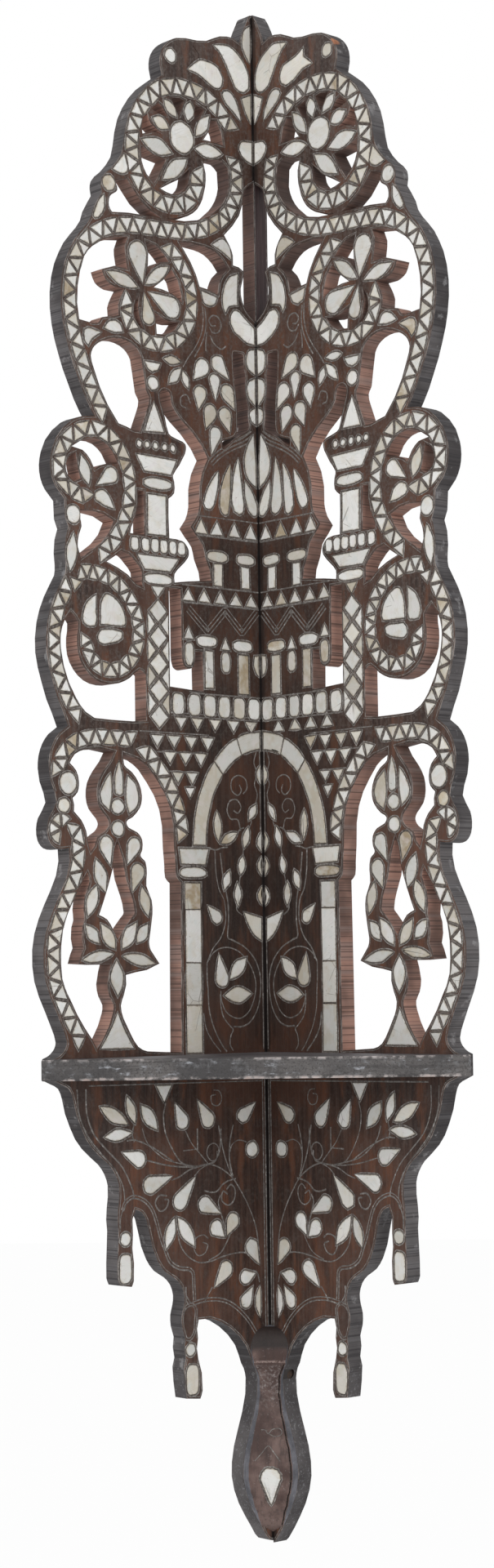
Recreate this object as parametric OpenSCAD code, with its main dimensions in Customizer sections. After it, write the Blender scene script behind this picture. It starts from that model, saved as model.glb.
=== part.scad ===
// Corner turban stand: two pierced walnut boards joined at a right angle and inlaid
// with mother-of-pearl, a triangular shelf between them and a drop finial in the corner.

/* [Boards] */
// Width of one wing, from the inner corner to the widest point of its leg
wing_w = 183; // [160:1:210]
// Height of the crest above the top of the shelf
crest_h = 692; // [600:1:780]
// Depth of the tail below the top of the shelf
tail_h = 315; // [284:1:350]
// How much wider the right wing spreads than the left one, from its minaret upwards
right_wider = 4; // [0:0.5:6]
// Thickness of the two boards
board_t = 12; // [10:0.5:16]

/* [Shelf] */
// Thickness of the shelf
shelf_t = 13; // [10:0.5:16]
// How far the shelf runs past the widest part of the boards beside it
shelf_past = 8; // [4:1:20]
// Width of the squared ends of the shelf
shelf_lip = 3; // [1:0.5:8]

/* [Inlay] */
// Depth of the pearl plates and of the pockets that hold them
inlay_depth = 1.4; // [1:0.1:2.5]
// Room round a pearl plate in its pocket
inlay_fit = 0.1; // [0.05:0.05:0.2]
// Width of the filler line between two pearl triangles of a ribbon
mastic_w = 2.2; // [1.4:0.1:2.8]
// Width of a ribbon of pearl triangles
ribbon_w = 11.6; // [10:0.2:12.4]
// How far a triangle's corners stray from an even spacing
hand_cut = 0.5; // [0:0.1:0.8]

/* [Nails] */
// Diameter of a nail's shank
nail_d = 2.6; // [1.6:0.2:3.4]
// Diameter of a nail's head
nail_head_d = 6; // [4:0.5:8]
// Thickness of a nail's head
nail_head_t = 1.2; // [0.8:0.1:2]
// How far a nail reaches into the second piece
nail_bite = 18; // [10:1:24]
// How far a nail reaches into the finial block
block_bite = 6; // [4:0.5:8]
// Room round a nail in its hole
nail_fit = 0.1; // [0.05:0.05:0.2]

/* [Hidden] */
$fn = 48;
cut = 1;                        // how far a cutting shape runs past the face it cuts
wood = "#4a3028";
dark_wood = "#3d2b26";
grey_wood = "#57504c";
pearl = "#e4ded0";
iron = "#5b5552";

// The design is drawn once, in millimetres, for a wing of this size: u runs from the
// corner outwards and z upwards, with the shelf top at z = -drawn_lift.
drawn_w = 183;
drawn_up = 692;
drawn_down = 315;
drawn_lift = 10;
drawn_shelf = [176, -drawn_lift];
su = wing_w / drawn_w;
sz_up = crest_h / drawn_up;

// A drawn point at its real place on the face of a board; the part beside the shelf
// keeps its height, so that the shelf always fits between the two halves of the design.
shelf_band = 13;
function real_z(z) = let(h = z + drawn_lift)
    h >= 0 ? h * sz_up
    : h >= -shelf_band ? h / shelf_band * shelf_t
    : -shelf_t + (h + shelf_band) * (tail_h - shelf_t) / (drawn_down - shelf_band);
spread_z = [300, 420];          // the right wing's extra width grows between these heights
function ramp(t) = t <= 0 ? 0 : t >= 1 ? 1 : t * t * (3 - 2 * t);
function spread(z) = ramp((z - spread_z[0]) / (spread_z[1] - spread_z[0])) / drawn_w;
function real(p, wider = 0) = [p[0] * (su + wider * spread(p[1])), real_z(p[1])];
function real_all(list, wider = 0) = [for (p = list) real(p, wider)];

// Curves

function xy(p) = [p[0], p[1]];
function sharp(p) = len(p) > 2;
function unit(v) = v / norm(v);
function hermite(p, q, m, n, t) =
    (2*t*t*t - 3*t*t + 1) * p + (t*t*t - 2*t*t + t) * m + (3*t*t - 2*t*t*t) * q + (t*t*t - t*t) * n;
function bend(v, w) = acos(min(1, v * w / norm(v) / norm(w)));
// Points from b towards c on a curve that also passes a and d, one for every few degrees
// that it bends; a sharp knot is a corner
function stretch(a, b, c, d, degrees) = let(
        p = xy(b),
        q = xy(c),
        run = norm(q - p),
        m = sharp(b) ? q - p : run * unit(q - xy(a)),
        w = sharp(c) ? q - p : run * unit(xy(d) - p),
        steps = max(1, ceil((bend(m, q - p) + bend(q - p, w)) / degrees)))
    [for (i = [0 : steps - 1]) hermite(p, q, m, w, i / steps)];
// Closed smooth outline through knots [u, z] and corners [u, z, 1]
function outline(k, degrees = 15) = let(c = len(k))
    [for (i = [0 : c - 1]) each stretch(k[(i + c - 1) % c], k[i], k[(i + 1) % c], k[(i + 2) % c], degrees)];
// Open smooth line through knots
function line(k, degrees = 4) = let(c = len(k) - 1)
    [for (i = [0 : c - 1]) each stretch(k[max(i - 1, 0)], k[i], k[i + 1], k[min(i + 2, c)], degrees), xy(k[c])];

// A polygon with every side moved outwards by d
function area2(p) = let(n = len(p))
    [for (i = [0 : n - 1]) p[i][0] * p[(i + 1) % n][1] - p[(i + 1) % n][0] * p[i][1]]
    * [for (i = [0 : n - 1]) 1];
function side_normal(a, b, turn) = let(v = unit(b - a)) turn * [v[1], -v[0]];
function grow(p, d) = let(n = len(p), turn = sign(area2(p)))
    [for (i = [0 : n - 1]) let(
            e = side_normal(p[(i + n - 1) % n], p[i], turn),
            f = side_normal(p[i], p[(i + 1) % n], turn))
        p[i] + d * (e + f) / max(0.12, 1 + e * f)];

// Pearl shapes

// Round end of radius r about c, drawn out to a point
function drop(c, r, tip, n = 7) = let(
        v = tip - c,
        from = atan2(v[1], v[0]),
        open = acos(r / norm(v)))
    [tip, for (i = [0 : n]) c + r * [cos(from + open + (360 - 2*open) * i / n),
                                     sin(from + open + (360 - 2*open) * i / n)]];
// Leaf with a point at each end, w wide on each side of its rib
function leaf(a, b, w, n = 5) = let(s = side_normal(a, b, 1))
    [for (i = [0 : n]) a + (b - a) * i / n + s * w * sin(180 * i / n),
     for (i = [n - 1 : -1 : 1]) a + (b - a) * i / n - s * w * sin(180 * i / n)];
// Oval plate; a power below 1 squares it
function plate(c, ru, rz, power = 1, n = 12) = [for (i = [0 : n - 1]) let(a = 360 * (i + 0.5) / n)
    c + [ru * sign(cos(a)) * pow(abs(cos(a)), power), rz * sign(sin(a)) * pow(abs(sin(a)), power)]];
function bar(u0, u1, z0, z1) = [[u0, z0], [u1, z0], [u1, z1], [u0, z1]];
function shape(k) = outline(k, 24);
// Row of triangles on a base at z0 with their tips at z1
function teeth(list, w, z0, z1) = [for (u = list) [[u - w / 2, z0], [u + w / 2, z0], [u, z1]]];

// Ribbon of n triangles that alternate between the two edges of a band along a line; with
// ease above 0 they start closer together and end further apart
function lengths(p) = [for (i = 0, s = 0; i < len(p);
    s = s + (i < len(p) - 1 ? norm(p[i + 1] - p[i]) : 0), i = i + 1) s];
function place_on(p, s, at) = let(
        i = max([for (j = [0 : len(p) - 2]) if (s[j] <= at) j]),
        v = unit(p[i + 1] - p[i]))
    [p[i] + v * (at - s[i]), [-v[1], v[0]]];
function ribbon(k, n, w = ribbon_w, ease = 0) = let(
        p = line(k),
        s = lengths(p),
        total = s[len(s) - 1],
        corners = [for (j = [0 : n + 1]) let(
                stray = j == 0 || j == n + 1 ? 0 : hand_cut * sin(j * 97),
                t = j / (n + 1),
                at = place_on(p, s, max(0, total * t * (1 + ease * (t - 1)) + stray - 0.001)))
            at[0] + (j % 2 == 0 ? 1 : -1) * w / 2 * at[1]])
    [for (j = [1 : n]) grow([corners[j - 1], corners[j], corners[j + 1]], -mastic_w / 2)];

// Outline of a wing, from the top of the corner outwards and down to the tail

crest_edge = [[1, 681.5], [4, 677], [7, 671], [10, 664], [11, 660.5, 1], [16, 662.5], [22, 662.6],
    [28, 661.4], [34, 658.7], [40, 655.7], [48, 654.2], [58, 653.6], [66, 652], [72, 648.8], [77, 644],
    [80, 638], [80.5, 631], [79, 624.5, 1]];
shoulder_edge = [[86, 620], [93, 614.5], [99, 608], [104.5, 600], [108.5, 592], [111, 583], [112.5, 574],
    [114.5, 566], [118.5, 560], [123.5, 554.5], [128, 550.8, 1], [131, 547], [131.8, 542], [131, 537.5, 1],
    [134.5, 532], [138, 526], [140, 520], [143.5, 515], [148.5, 509.5], [153.5, 503.5], [157.5, 496.5],
    [161, 489], [163.5, 480], [164.8, 470], [164.8, 460], [163.5, 450], [161.5, 441], [158.5, 432],
    [155, 422.5], [150.5, 413], [146.5, 404.5], [142, 397], [139, 392.7, 1]];
scroll_edge = [[148, 391.6], [157, 388], [164, 382.3], [169.5, 375.5], [173, 367.5], [174.5, 359],
    [173.5, 351], [170, 344], [163.5, 337.5, 1], [163.3, 332], [163, 326], [160.5, 320, 1], [162.8, 313],
    [163.5, 304.5], [162.8, 297], [163.4, 290.5], [167.5, 283.5], [171.5, 276.5], [175, 268.5], [177.5, 260],
    [178.8, 250], [178.6, 241], [176.8, 232], [173.8, 222.5], [170.3, 212.5], [166, 204], [162.3, 195.5, 1]];
leg_edge = [[169, 190.8], [173.8, 184.7], [176.8, 177], [177.5, 169], [176.2, 161], [173.2, 154],
    [171.8, 148, 1], [174.5, 143], [177.8, 138], [179.2, 131.5], [178.2, 124.5], [174, 119.8], [168, 118.8],
    [162.5, 119.5, 1], [162, 112], [164, 103], [168.3, 94], [173.3, 85], [177.8, 76], [181.2, 67],
    [183, 57], [183, 47], [181.5, 37.5], [178, 28], [173, 18], [168.5, 8.5], [165.5, 0], [167.5, -5],
    [172, -8.5], [drawn_shelf[0], -drawn_lift, 1]];
bracket_edge = [[drawn_shelf[0], -drawn_lift - shelf_band, 1], [170, -25.5], [164, -28.5], [161, -35],
    [158.7, -44], [155, -52.5], [151, -60], [146, -66], [139.5, -71.5], [133, -76.5], [128, -83],
    [125.5, -90], [125.5, -97], [126.5, -104], [127, -111], [126.3, -118, 1], [126.8, -128], [127.3, -138],
    [127.3, -147], [125.5, -151, 1], [116, -152.5, 1], [114.3, -149], [114, -138], [115.2, -129],
    [114.6, -121], [114.8, -111], [112.5, -105, 1], [107.5, -107], [103.8, -112], [101.5, -120], [99, -129.5],
    [95, -138], [89, -145.3], [81, -150], [75.8, -155], [73.3, -162], [74, -168], [75.8, -174],
    [75.5, -181], [73.2, -188, 1], [74, -194.5], [72.8, -201, 1], [74.5, -206.5], [73.8, -216],
    [72.3, -225.8, 1], [61, -227, 1], [59, -222], [59.5, -211], [62.3, -202, 1], [63.3, -195.5],
    [62.3, -189, 1], [63, -183], [61.5, -177.5, 1], [52, -177.6], [43, -180.5], [35, -185], [27.5, -191],
    [21.5, -198], [18.3, -205], [16.5, -210, 1]];
tail_edge = [[13.3, -213.5], [11.7, -220], [12.2, -230], [15, -241], [19, -252], [22.5, -262], [24.5, -272],
    [24.8, -281], [22.8, -290], [19, -299], [13.5, -308], [8, -316], [2.5, -323]];
// The saw ran a little inside the drawn line from the shoulder down to the bracket
saw_trim = 1;
function sawn(k) = [for (p = k) [p[0] - saw_trim, for (i = [1 : len(p) - 1]) p[i]]];
function wing_edge(corner_u) = outline(concat(
    [[corner_u, drawn_up - drawn_lift, 1]],
    crest_edge, sawn(shoulder_edge), sawn(scroll_edge), sawn(leg_edge), sawn(bracket_edge), tail_edge,
    [[corner_u, -drawn_down - drawn_lift, 1]]));

// Openings sawn through a wing

function corner_opening(u) = [
    [u, 473, 1], [7, 478.5], [11.5, 486], [12.5, 494], [9, 505.5, 1], [14, 508], [19, 508.5, 1], [19, 515],
    [22, 521.5], [26.5, 527.5, 1], [19, 535], [13, 543], [9.5, 552.5], [8, 561], [u, 567.5, 1]];
rosette_openings = [
    [[88.3, 600.3, 1], [82, 605.3, 1], [78.5, 603.5], [74.5, 597.8, 1], [82, 598.5]],
    [[95, 593.5, 1], [91.5, 596.5, 1], [88.5, 590.5], [79, 585, 1], [88, 585.3], [95.5, 582.5, 1], [96.3, 588]],
    [[97, 574.5, 1], [87, 570.5], [76, 569, 1], [83, 556.5], [86.5, 551.5, 1], [92.5, 556.5], [96.5, 564.5]],
    [[81, 549, 1], [72, 547], [63.5, 549.8], [57.5, 556.5], [56, 566.5, 1], [65, 558], [75, 552.5]],
    [[37, 602.3, 1], [32.3, 603.3, 1], [28.3, 596.5], [26.5, 588, 1], [38, 588.5], [43.5, 588.5, 1], [39, 594.5]],
    [[50, 611, 1], [42.5, 608.5, 1], [46.5, 601.5], [51, 598.5, 1], [51.2, 605]],
    [[71.5, 611, 1], [64, 612.3], [59.5, 611.5, 1], [62.5, 603.5], [64.5, 600, 1], [67.5, 604.5]]];
scroll_gaps = [
    [[44, 573, 1], [38, 576], [28, 577], [22.5, 573, 1], [21.8, 562], [24.8, 553], [30.5, 545.3],
        [38.5, 538.4], [48.5, 533.8], [61, 530.9], [77, 529.7, 1], [67, 531.5], [58, 534.8], [50, 540.5],
        [45, 548.5], [42.5, 557], [42, 566]],
    [[119, 547.5, 1], [117, 541.5], [123, 536.5], [124, 530], [121.5, 526.5, 1], [108, 528.3], [94, 529],
        [81, 529.5, 1], [90, 533], [98, 538], [104.5, 545], [109, 550, 1]],
    [[66, 516.3, 1], [56, 517.3], [44, 516.8], [35, 515], [27.5, 510], [23.5, 505.3, 1], [28.5, 500.5],
        [32, 493.5], [33, 486.8, 1], [40, 488.7], [48.5, 489.5, 1], [51.5, 497], [56, 504.5], [61.5, 511.5]]];
flower_openings = [
    [[109, 512.3, 1], [119, 510.8], [129, 507.3], [138, 501.5], [144.5, 494], [148, 484], [150, 474],
        [150.5, 463], [149, 453, 1], [141, 452.3], [134, 453], [130.5, 457], [121, 459], [117, 460.5, 1],
        [117.5, 467], [114.5, 474], [112, 478.3, 1], [120, 478.3], [127.5, 481.8], [130.5, 488, 1],
        [120, 491.8], [109.5, 491.5, 1], [110.8, 499], [111.5, 506]],
    [[94, 512.3, 1], [86, 510.8], [79, 506], [74.8, 501.7, 1], [82, 500.3], [89, 495], [94, 488.5, 1],
        [92.3, 497], [91.8, 506]],
    [[72.5, 497, 1], [67.5, 491], [64.5, 482], [64, 476.5, 1], [71, 481], [81, 482.8], [87.5, 483, 1],
        [79.5, 489]],
    [[66.3, 463.3, 1], [70.3, 457.8], [77.5, 453.6], [85.5, 452.8, 1], [86, 460], [87.8, 467, 1], [80, 463.5],
        [72, 462.5]],
    [[100, 476.5, 1], [101, 468], [99, 459], [96.3, 454.5, 1], [101, 456.5], [104.3, 463.5], [102.8, 471.5]]];
minaret_gaps = [
    [[140, 431], [138, 424], [133, 412], [126.5, 401], [118, 390.5, 1], [112, 389.3], [105.5, 387.5],
        [100.5, 387.5, 1], [97.5, 395], [94, 403.5], [92.5, 410], [95.3, 415], [96.3, 421], [97.3, 427],
        [99, 436], [104, 442], [112, 445], [121, 445], [130, 442], [137, 437.5]],
    [[80, 417], [75.5, 415.5], [73.5, 407.5], [67, 400], [57, 392.5], [48.5, 384], [43.5, 376.5, 1],
        [48.5, 367], [51, 357], [51.2, 345], [54, 336.5], [59, 330, 1], [54.5, 324.8], [49, 319], [46.8, 311],
        [43, 303], [42, 296.5, 1], [52, 295.3], [63, 294], [73, 292.5, 1], [73, 298], [67.5, 303.5],
        [61.5, 309.5], [61, 315], [66, 320], [77, 320.8, 1], [77.5, 335], [77.3, 346.5, 1], [72.5, 350.5],
        [72.3, 357.5], [73.3, 362], [68, 369], [63, 377], [62.5, 383.5], [70, 386.2, 1], [76.5, 389],
        [79.5, 399], [83, 409], [83.3, 414.5]],
    [[103, 349.3, 1], [102.8, 341], [104.8, 332.5], [108.8, 324.5], [109.5, 321, 1], [104, 321], [98, 321, 1],
        [98, 335, 1], [98, 349.3, 1]],
    [[129, 301, 1], [122.5, 305], [117, 308.8, 1], [111, 307.5], [105.5, 303], [100.5, 297.5], [100.5, 291],
        [99.5, 287, 1], [105, 289], [112, 294.3], [120, 298]],
    [[78, 288.5, 1], [68.3, 288.5, 1], [67.8, 268], [67.8, 247], [66.3, 239.5], [61.7, 237.3], [57.3, 240],
        [56.3, 249, 1], [50.3, 249, 1], [50, 236], [49.8, 223.5, 1], [62, 224], [78, 225, 1]]];
leaf_scroll_openings = [
    [[156, 371.3, 1], [149.5, 375.3], [141, 378.3], [131, 377.3], [123.5, 372], [118.5, 364, 1],
        [127, 363.8], [134, 361.5], [138, 359, 1], [141.5, 365], [147.5, 370]],
    [[158, 365, 1], [153, 367.5, 1], [151.5, 359], [149.5, 351.5, 1], [154, 349.5, 1], [159.5, 353],
        [160.8, 359.5]],
    [[150, 331.5, 1], [140, 332], [131, 331], [123, 327.5, 1], [127, 319.5], [133, 313], [141, 307.3],
        [149.5, 301.5, 1], [152, 308.5], [151, 316], [148.8, 321.5], [149.8, 326.5]],
    [[158, 267, 1], [163, 261], [166, 252.5], [166, 243], [163.8, 232.5], [160, 222.5], [154, 212.5],
        [147, 205], [140, 201.5, 1], [124, 201], [109, 201], [98, 202, 1], [98, 231.5, 1], [103.5, 234],
        [111, 228.5], [120, 224.5], [130, 223.5], [140, 226], [148, 232.5], [152.7, 241.5], [153.3, 252],
        [152.3, 261]]];
lamp_openings = [
    [[124.5, 181, 1], [136, 182.5], [148, 181.3], [156, 178], [160, 172.5, 1], [155, 168], [152.8, 161],
        [154, 154.5], [158, 150.8, 1], [156.8, 146.5], [157, 142.5, 1], [151.5, 137.5], [147.5, 130.5],
        [146, 123], [144.3, 117.5, 1], [141, 121.5], [138.8, 127], [132.5, 131], [129.5, 135.3], [131, 139.3],
        [136.8, 145.3], [139, 153], [137.8, 161.5], [133.3, 169], [127.8, 175.5]],
    [[117, 180, 1], [116.5, 173], [110, 168.5], [104.7, 162], [102.3, 154], [104, 146.5], [110, 140.3],
        [115, 137.3], [113.3, 133.5], [106.5, 130.8], [102.5, 126], [102.5, 120], [104, 116], [100, 112],
        [99, 105], [99.5, 97], [95.3, 88], [94.8, 79], [96.3, 70], [97.8, 62], [96.5, 56.5], [89.5, 48, 1],
        [100, 44], [110, 42.5], [117, 41, 1], [116.8, 35], [118.8, 28.5], [121.3, 22], [119.3, 14], [113.5, 4],
        [107.5, -4], [100, -7], [86, -7.8], [72, -8.3, 1], [71.5, 50, 1], [71, 99.5, 1], [74.7, 103], [75.3, 111],
        [76.3, 122], [76.8, 136], [79, 146.5], [83.2, 155.5], [89.2, 163.6], [96, 171.5], [105, 177]],
    [[147, 105, 1], [152, 97], [158.5, 86.5], [163.3, 78], [166.5, 69], [168, 59], [168.2, 48], [167.3, 39],
        [164.7, 32], [160.5, 25], [156, 17], [150, 8.5], [144, 1], [141, -4, 1], [135.5, 2], [131, 9.5],
        [128, 17], [127.3, 22.5], [130.5, 28], [132, 35.5], [130.5, 43], [129, 47.8, 1], [140, 47.6],
        [154.5, 48.3, 1], [152.5, 54], [150.5, 58, 1], [151.8, 64], [151.3, 71], [149.7, 75.5], [150.3, 82],
        [149.3, 90], [145.3, 99]],
    [[123, 126, 1], [125.5, 117], [126.8, 107], [131, 95], [135.3, 84.5], [138, 78.5, 1], [131.5, 75.7],
        [126.8, 69.5], [123, 63.5, 1], [117.5, 71], [112, 77], [109.3, 80.5], [112, 91], [116.2, 101],
        [118.5, 113]]];
sawn_openings = concat(rosette_openings, scroll_gaps, flower_openings, minaret_gaps,
    leaf_scroll_openings, lamp_openings);

// Pearl of a wing, motif by motif

forked_petal = [[57, 634, 1], [49.5, 640, 1], [49, 646, 1], [42, 642], [31.5, 639.5], [27.5, 633.5],
    [29, 628], [34, 626], [40, 628], [48, 632.5]];
curled_petal = [[56.5, 633, 1], [48, 640], [40, 641.5], [31, 639], [26.8, 633], [28.5, 627], [33.5, 625.5],
    [40, 628], [48, 632]];
crest_leaf = [[1.8, 673.5, 1], [6, 670], [8.3, 663], [6.5, 655], [2.3, 648.5, 1], [1.5, 661]];
function crest_petals(left) = concat(
    [plate([71.5, 639], 4.2, 4.2),
     shape([[33.5, 654, 1], [22, 656], [10, 650], [4, 640], [4, 631], [9, 627.5], [15, 630], [21, 640],
         [28, 650]]),
     shape(left ? curled_petal : forked_petal),
     shape([[11, 607.5, 1], [12, 613], [15.5, 620], [19.5, 624.5], [24.5, 624.5], [26.5, 621.5], [23.5, 617],
         [17.5, 612.5]]),
     [[2, 626], [9, 622.5], [6.5, 615], [2, 607.5]],
     shape([[111.5, 565.5, 1], [121, 554.3, 1], [115, 553], [109.8, 554.5], [108.8, 558]]),
     plate([124.3, 544.8], 4.9, 4.9),
     shape([[128.5, 536.5, 1], [133, 531], [136.8, 523], [135.8, 520.5], [132.3, 522], [128.3, 529]])],
    left ? [shape(crest_leaf)] : []);
rosette = [plate([62.5, 586], 9.5, 10, 1, 18),
    leaf([66.8, 599], [77, 608.3], 3.5),
    leaf([57, 598.5], [55, 611], 3.8),
    leaf([50.5, 589.5], [38.8, 605], 3.8),
    leaf([51, 581], [28, 581.5], 4.2),
    leaf([58.5, 572.5], [79, 555.5], 4.6),
    leaf([71.5, 574], [96, 578.5], 5),
    leaf([74, 590], [87, 594.5], 4)];
rosette_ribbon = ribbon([[16, 597], [22, 603], [30, 611], [38, 616], [47, 619], [57, 620], [67, 619.5],
    [77, 617], [86, 612], [93.3, 604.2], [99.2, 596], [103.2, 586.8], [105, 577], [105, 567], [103, 558],
    [98.5, 549.5], [92, 543.8], [85, 540.5], [77, 538.8], [69, 538.8], [62, 541.5], [55.5, 546.5], [51.3, 553],
    [49.3, 561], [49.5, 571]], 37);
shoulder_ribbon = ribbon([[20, 584], [16.3, 577], [14.8, 569], [14.8, 561], [17, 552.5], [21.5, 545],
    [28, 538], [36, 532.5], [45, 528], [55, 525], [66, 523], [78, 522], [92, 521.5], [105, 520.8],
    [117, 518.8], [128, 515], [138, 509], [146, 501.5], [151.5, 492.5], [155.3, 482], [157, 471], [156.8, 460],
    [155, 449], [152, 439], [148.5, 429], [144.5, 419], [139.5, 409], [133.5, 399.5], [127, 391.5]], 49, ribbon_w - 0.7, 0.16);
flower_ribbon = ribbon([[80, 514.5], [72.5, 509.5], [66, 503], [60, 495.5], [56.6, 487], [55.4, 478],
    [56.4, 469], [59.8, 461], [65.5, 453.8], [73, 448.5], [82, 445.8], [92, 445.8], [101.5, 449], [108.8, 455.5],
    [111.6, 464], [109.8, 471.5], [107, 476.5]], 22, ribbon_w - 1.1);
flower = [drop([101, 503], 7.2, [97.3, 484.5]),
    leaf([95, 483.5], [75.5, 498.3], 3.9),
    drop([73.5, 471.8], 6.8, [92.5, 479]),
    drop([92.8, 463], 4.8, [96, 477.5]),
    leaf([101.5, 480.7], [126.5, 487], 3.9),
    shape([[37.5, 519.3, 1], [31.5, 523.3], [26.5, 523.8], [21.8, 518.5], [21, 512, 1], [28, 516]]),
    shape([[47.5, 486.8, 1], [34, 484.3, 1], [36, 480], [41, 478], [45.5, 480.3]]),
    shape([[129, 450.3, 1], [125.3, 454.5], [120, 456], [116.3, 454.3], [114.3, 450, 1], [121.5, 449]]),
    shape([[144.8, 446.5], [140.8, 448.3], [132, 447, 1], [138.8, 442.5], [142.3, 437.5, 1], [145.3, 441]])];
corner_emblem = [
    shape([[1.6, 594, 1], [8.5, 593.5], [12, 590], [10.8, 585], [6, 581.3], [1.6, 580.3, 1]]),
    shape([[15.3, 503, 1], [22, 500], [26.8, 493], [28.7, 485], [28, 478.5], [26.5, 475.5, 1], [23.5, 480.5],
        [16, 482, 1], [16.3, 491]]),
    shape([[22, 472.5], [18.8, 477.5], [14, 477.3], [8, 472.5], [1.6, 468.5, 1], [1.6, 457.8, 1], [8, 458.3],
        [15.5, 462], [20.5, 466.5]]),
    shape([[1.6, 454, 1], [6.5, 452], [8.8, 446], [6.5, 440], [1.6, 437.8, 1]]),
    shape([[1.6, 434.3, 1], [6, 432.3], [8.3, 427], [6, 420.5], [1.6, 416.8, 1]]),
    shape([[1.6, 414.5, 1], [4.8, 413], [6.2, 409.3], [4.3, 405.5], [1.6, 404.3, 1]])];
grapes = [drop([34, 440.5], 5.2, [25, 431.5]), drop([47.3, 436.3], 5.3, [54.8, 427.3]),
    drop([37, 428.8], 4.1, [36.3, 416]), drop([26, 422], 5.2, [20, 412]), drop([49.5, 418.5], 4.8, [51, 408.3]),
    drop([41, 407.3], 5, [44.8, 396.5]), drop([28.3, 406.8], 5, [24.3, 396]), drop([36.6, 393.3], 4.4, [40.3, 379.8]),
    leaf([76, 421.8], [65.8, 432.8], 3), leaf([64.3, 431.3], [59.8, 420.8], 2.5), leaf([80, 437.3], [66, 437], 2.4)];
dome = [
    shape([[3.5, 396.5, 1], [8.3, 389], [11.3, 380], [10.7, 371.5], [6.3, 365], [1.8, 362, 1], [1.8, 376]]),
    shape([[35, 368.8, 1], [40.5, 361.5], [45, 354], [47.3, 347.5], [45.8, 344], [41.5, 343.7], [38, 350],
        [35.7, 360]]),
    shape([[24.5, 374.3, 1], [29.3, 366], [33, 355], [33.5, 346], [30.3, 341.2], [26.7, 342.5], [25.2, 352],
        [24.8, 364]]),
    shape([[17.3, 379.3, 1], [21, 368], [22.8, 355], [21.8, 346], [17.3, 342.5], [13.6, 344.5], [13.5, 353],
        [15.5, 366]]),
    shape([[11.3, 364.5, 1], [11.3, 355], [9, 347], [5, 343], [1.8, 343.7], [2.3, 351], [6, 358.5]])];
function bands(left) = concat(
    teeth([50.3, 36.5, 21.5, 7], 10, 326.8, 335.5),
    teeth([62, 48.5, 34.5, 21, 7.5], 9.5, 281.8, 289),
    left ? teeth([69.5, 55.5, 40.5, 24.5, 9], 9.5, 205.3, 199) : teeth([63, 47.5, 32.5, 16.5], 9.5, 199, 205.3),
    teeth([89.5, 75.5, 61, 47], 9.5, 193, 186),
    teeth([79, 66, 53], 9.5, 182.6, 175.6),
    teeth([72.5, 60.5], 8.5, 169.8, 163.6),
    teeth([62.5], 7, 160.3, 154.8));
gallery_columns = [plate([36.5, 312.3], 8.4, 3, 0.7), plate([12, 312.3], 7.2, 3, 0.7),
    bar(33, 39.5, 293.5, 307.3), bar(9, 15.5, 293.5, 307.3),
    plate([46.5, 256.3], 8.3, 3.1, 0.7), plate([15.5, 255], 8, 3.1, 0.7),
    bar(41.3, 48, 226, 250), bar(11, 19, 224, 249),
    plate([30.5, 243.5], 3.3, 6.5, 0.7), plate([61.7, 247], 3.4, 7, 0.7), each teeth([30.5], 7, 251.8, 259),
    each teeth([62], 7.5, 257, 264), shape([[1.8, 249.5, 1], [5, 249, 1], [5.3, 243], [4, 238.5], [1.8, 236.5, 1]])];
balustrade = [for (u = [71.5, 57.8, 44.8, 32.2, 19.3, 6.3]) plate([u, 214], 4.6, 6.6, 0.55)];
minaret = concat(
    [shape([[96, 433.3, 1], [83.5, 433.3, 1], [85.8, 429.5], [89.8, 428], [93.5, 429.5]]),
     plate([89.5, 420], 4.2, 4.2),
     shape([[89, 407.5, 1], [84.8, 398.5], [80.8, 389, 1], [96.3, 388.5, 1], [93, 398]]),
     [[104, 372.5], [71, 371.5], [75.5, 362.2], [97.5, 362.5]],
     plate([86.5, 355], 11.5, 3.1, 0.8), bar(80, 95, 322, 347.5),
     [[104, 308], [70.5, 307.5], [77, 299.5], [98, 299.5]],
     plate([87, 293.3], 11.2, 3.1, 0.8)],
    [for (u = [101.5, 95, 88, 80.5, 73.5]) plate([u, 379.5], 1.8, 2, 1, 8)],
    [for (u = [106.3, 97.2, 89.4, 82, 74.5, 67.2]) plate([u, 314.8], 2.9, 3.9, 0.6)]);
lattice_pitch = 17;
lattice = concat(
    [for (i = [0 : 4]) let(z = 272.8 - lattice_pitch * i)
        [[87.5, z + 6.8], [94.3, z], [87.5, z - 6.8], [80.7, z]]],
    [for (i = [0 : 3]) let(z = 264.3 - lattice_pitch * i)
        each [[[96, z - 6.3], [96, z + 6.3], [90.5, z]], [[79.3, z - 6.3], [79.3, z + 6.3], [84.5, z]]]],
    teeth([87.5], 9.5, 288.3, 282.3));
leaf_scroll = concat(
    ribbon([[139, 338], [149, 341.5], [158, 343.3], [164.8, 347.5], [167.6, 356], [165.7, 366], [160.5, 375],
        [152.5, 381.5], [143, 384.8], [132.5, 384.6], [123.5, 380.3], [116.5, 373], [111.8, 364],
        [109.6, 354.5], [109.4, 345], [111.6, 335], [115.8, 325.5], [121.5, 316.5], [129, 309], [138, 302.5]], 30, ribbon_w - 1.1),
    [leaf([149, 366], [143, 348.5], 3.9), drop([125, 356.5], 4.9, [136.5, 349]),
     shape([[138, 341.5], [136.3, 344.8], [131.3, 345.8], [126.5, 342.3], [123.3, 335.5, 1], [130.5, 336.5], [136.3, 339]]),
     plate([155.6, 328.3], 5.2, 5.4), leaf([155.6, 316.8], [158.6, 292.3], 3.7)]);
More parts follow.
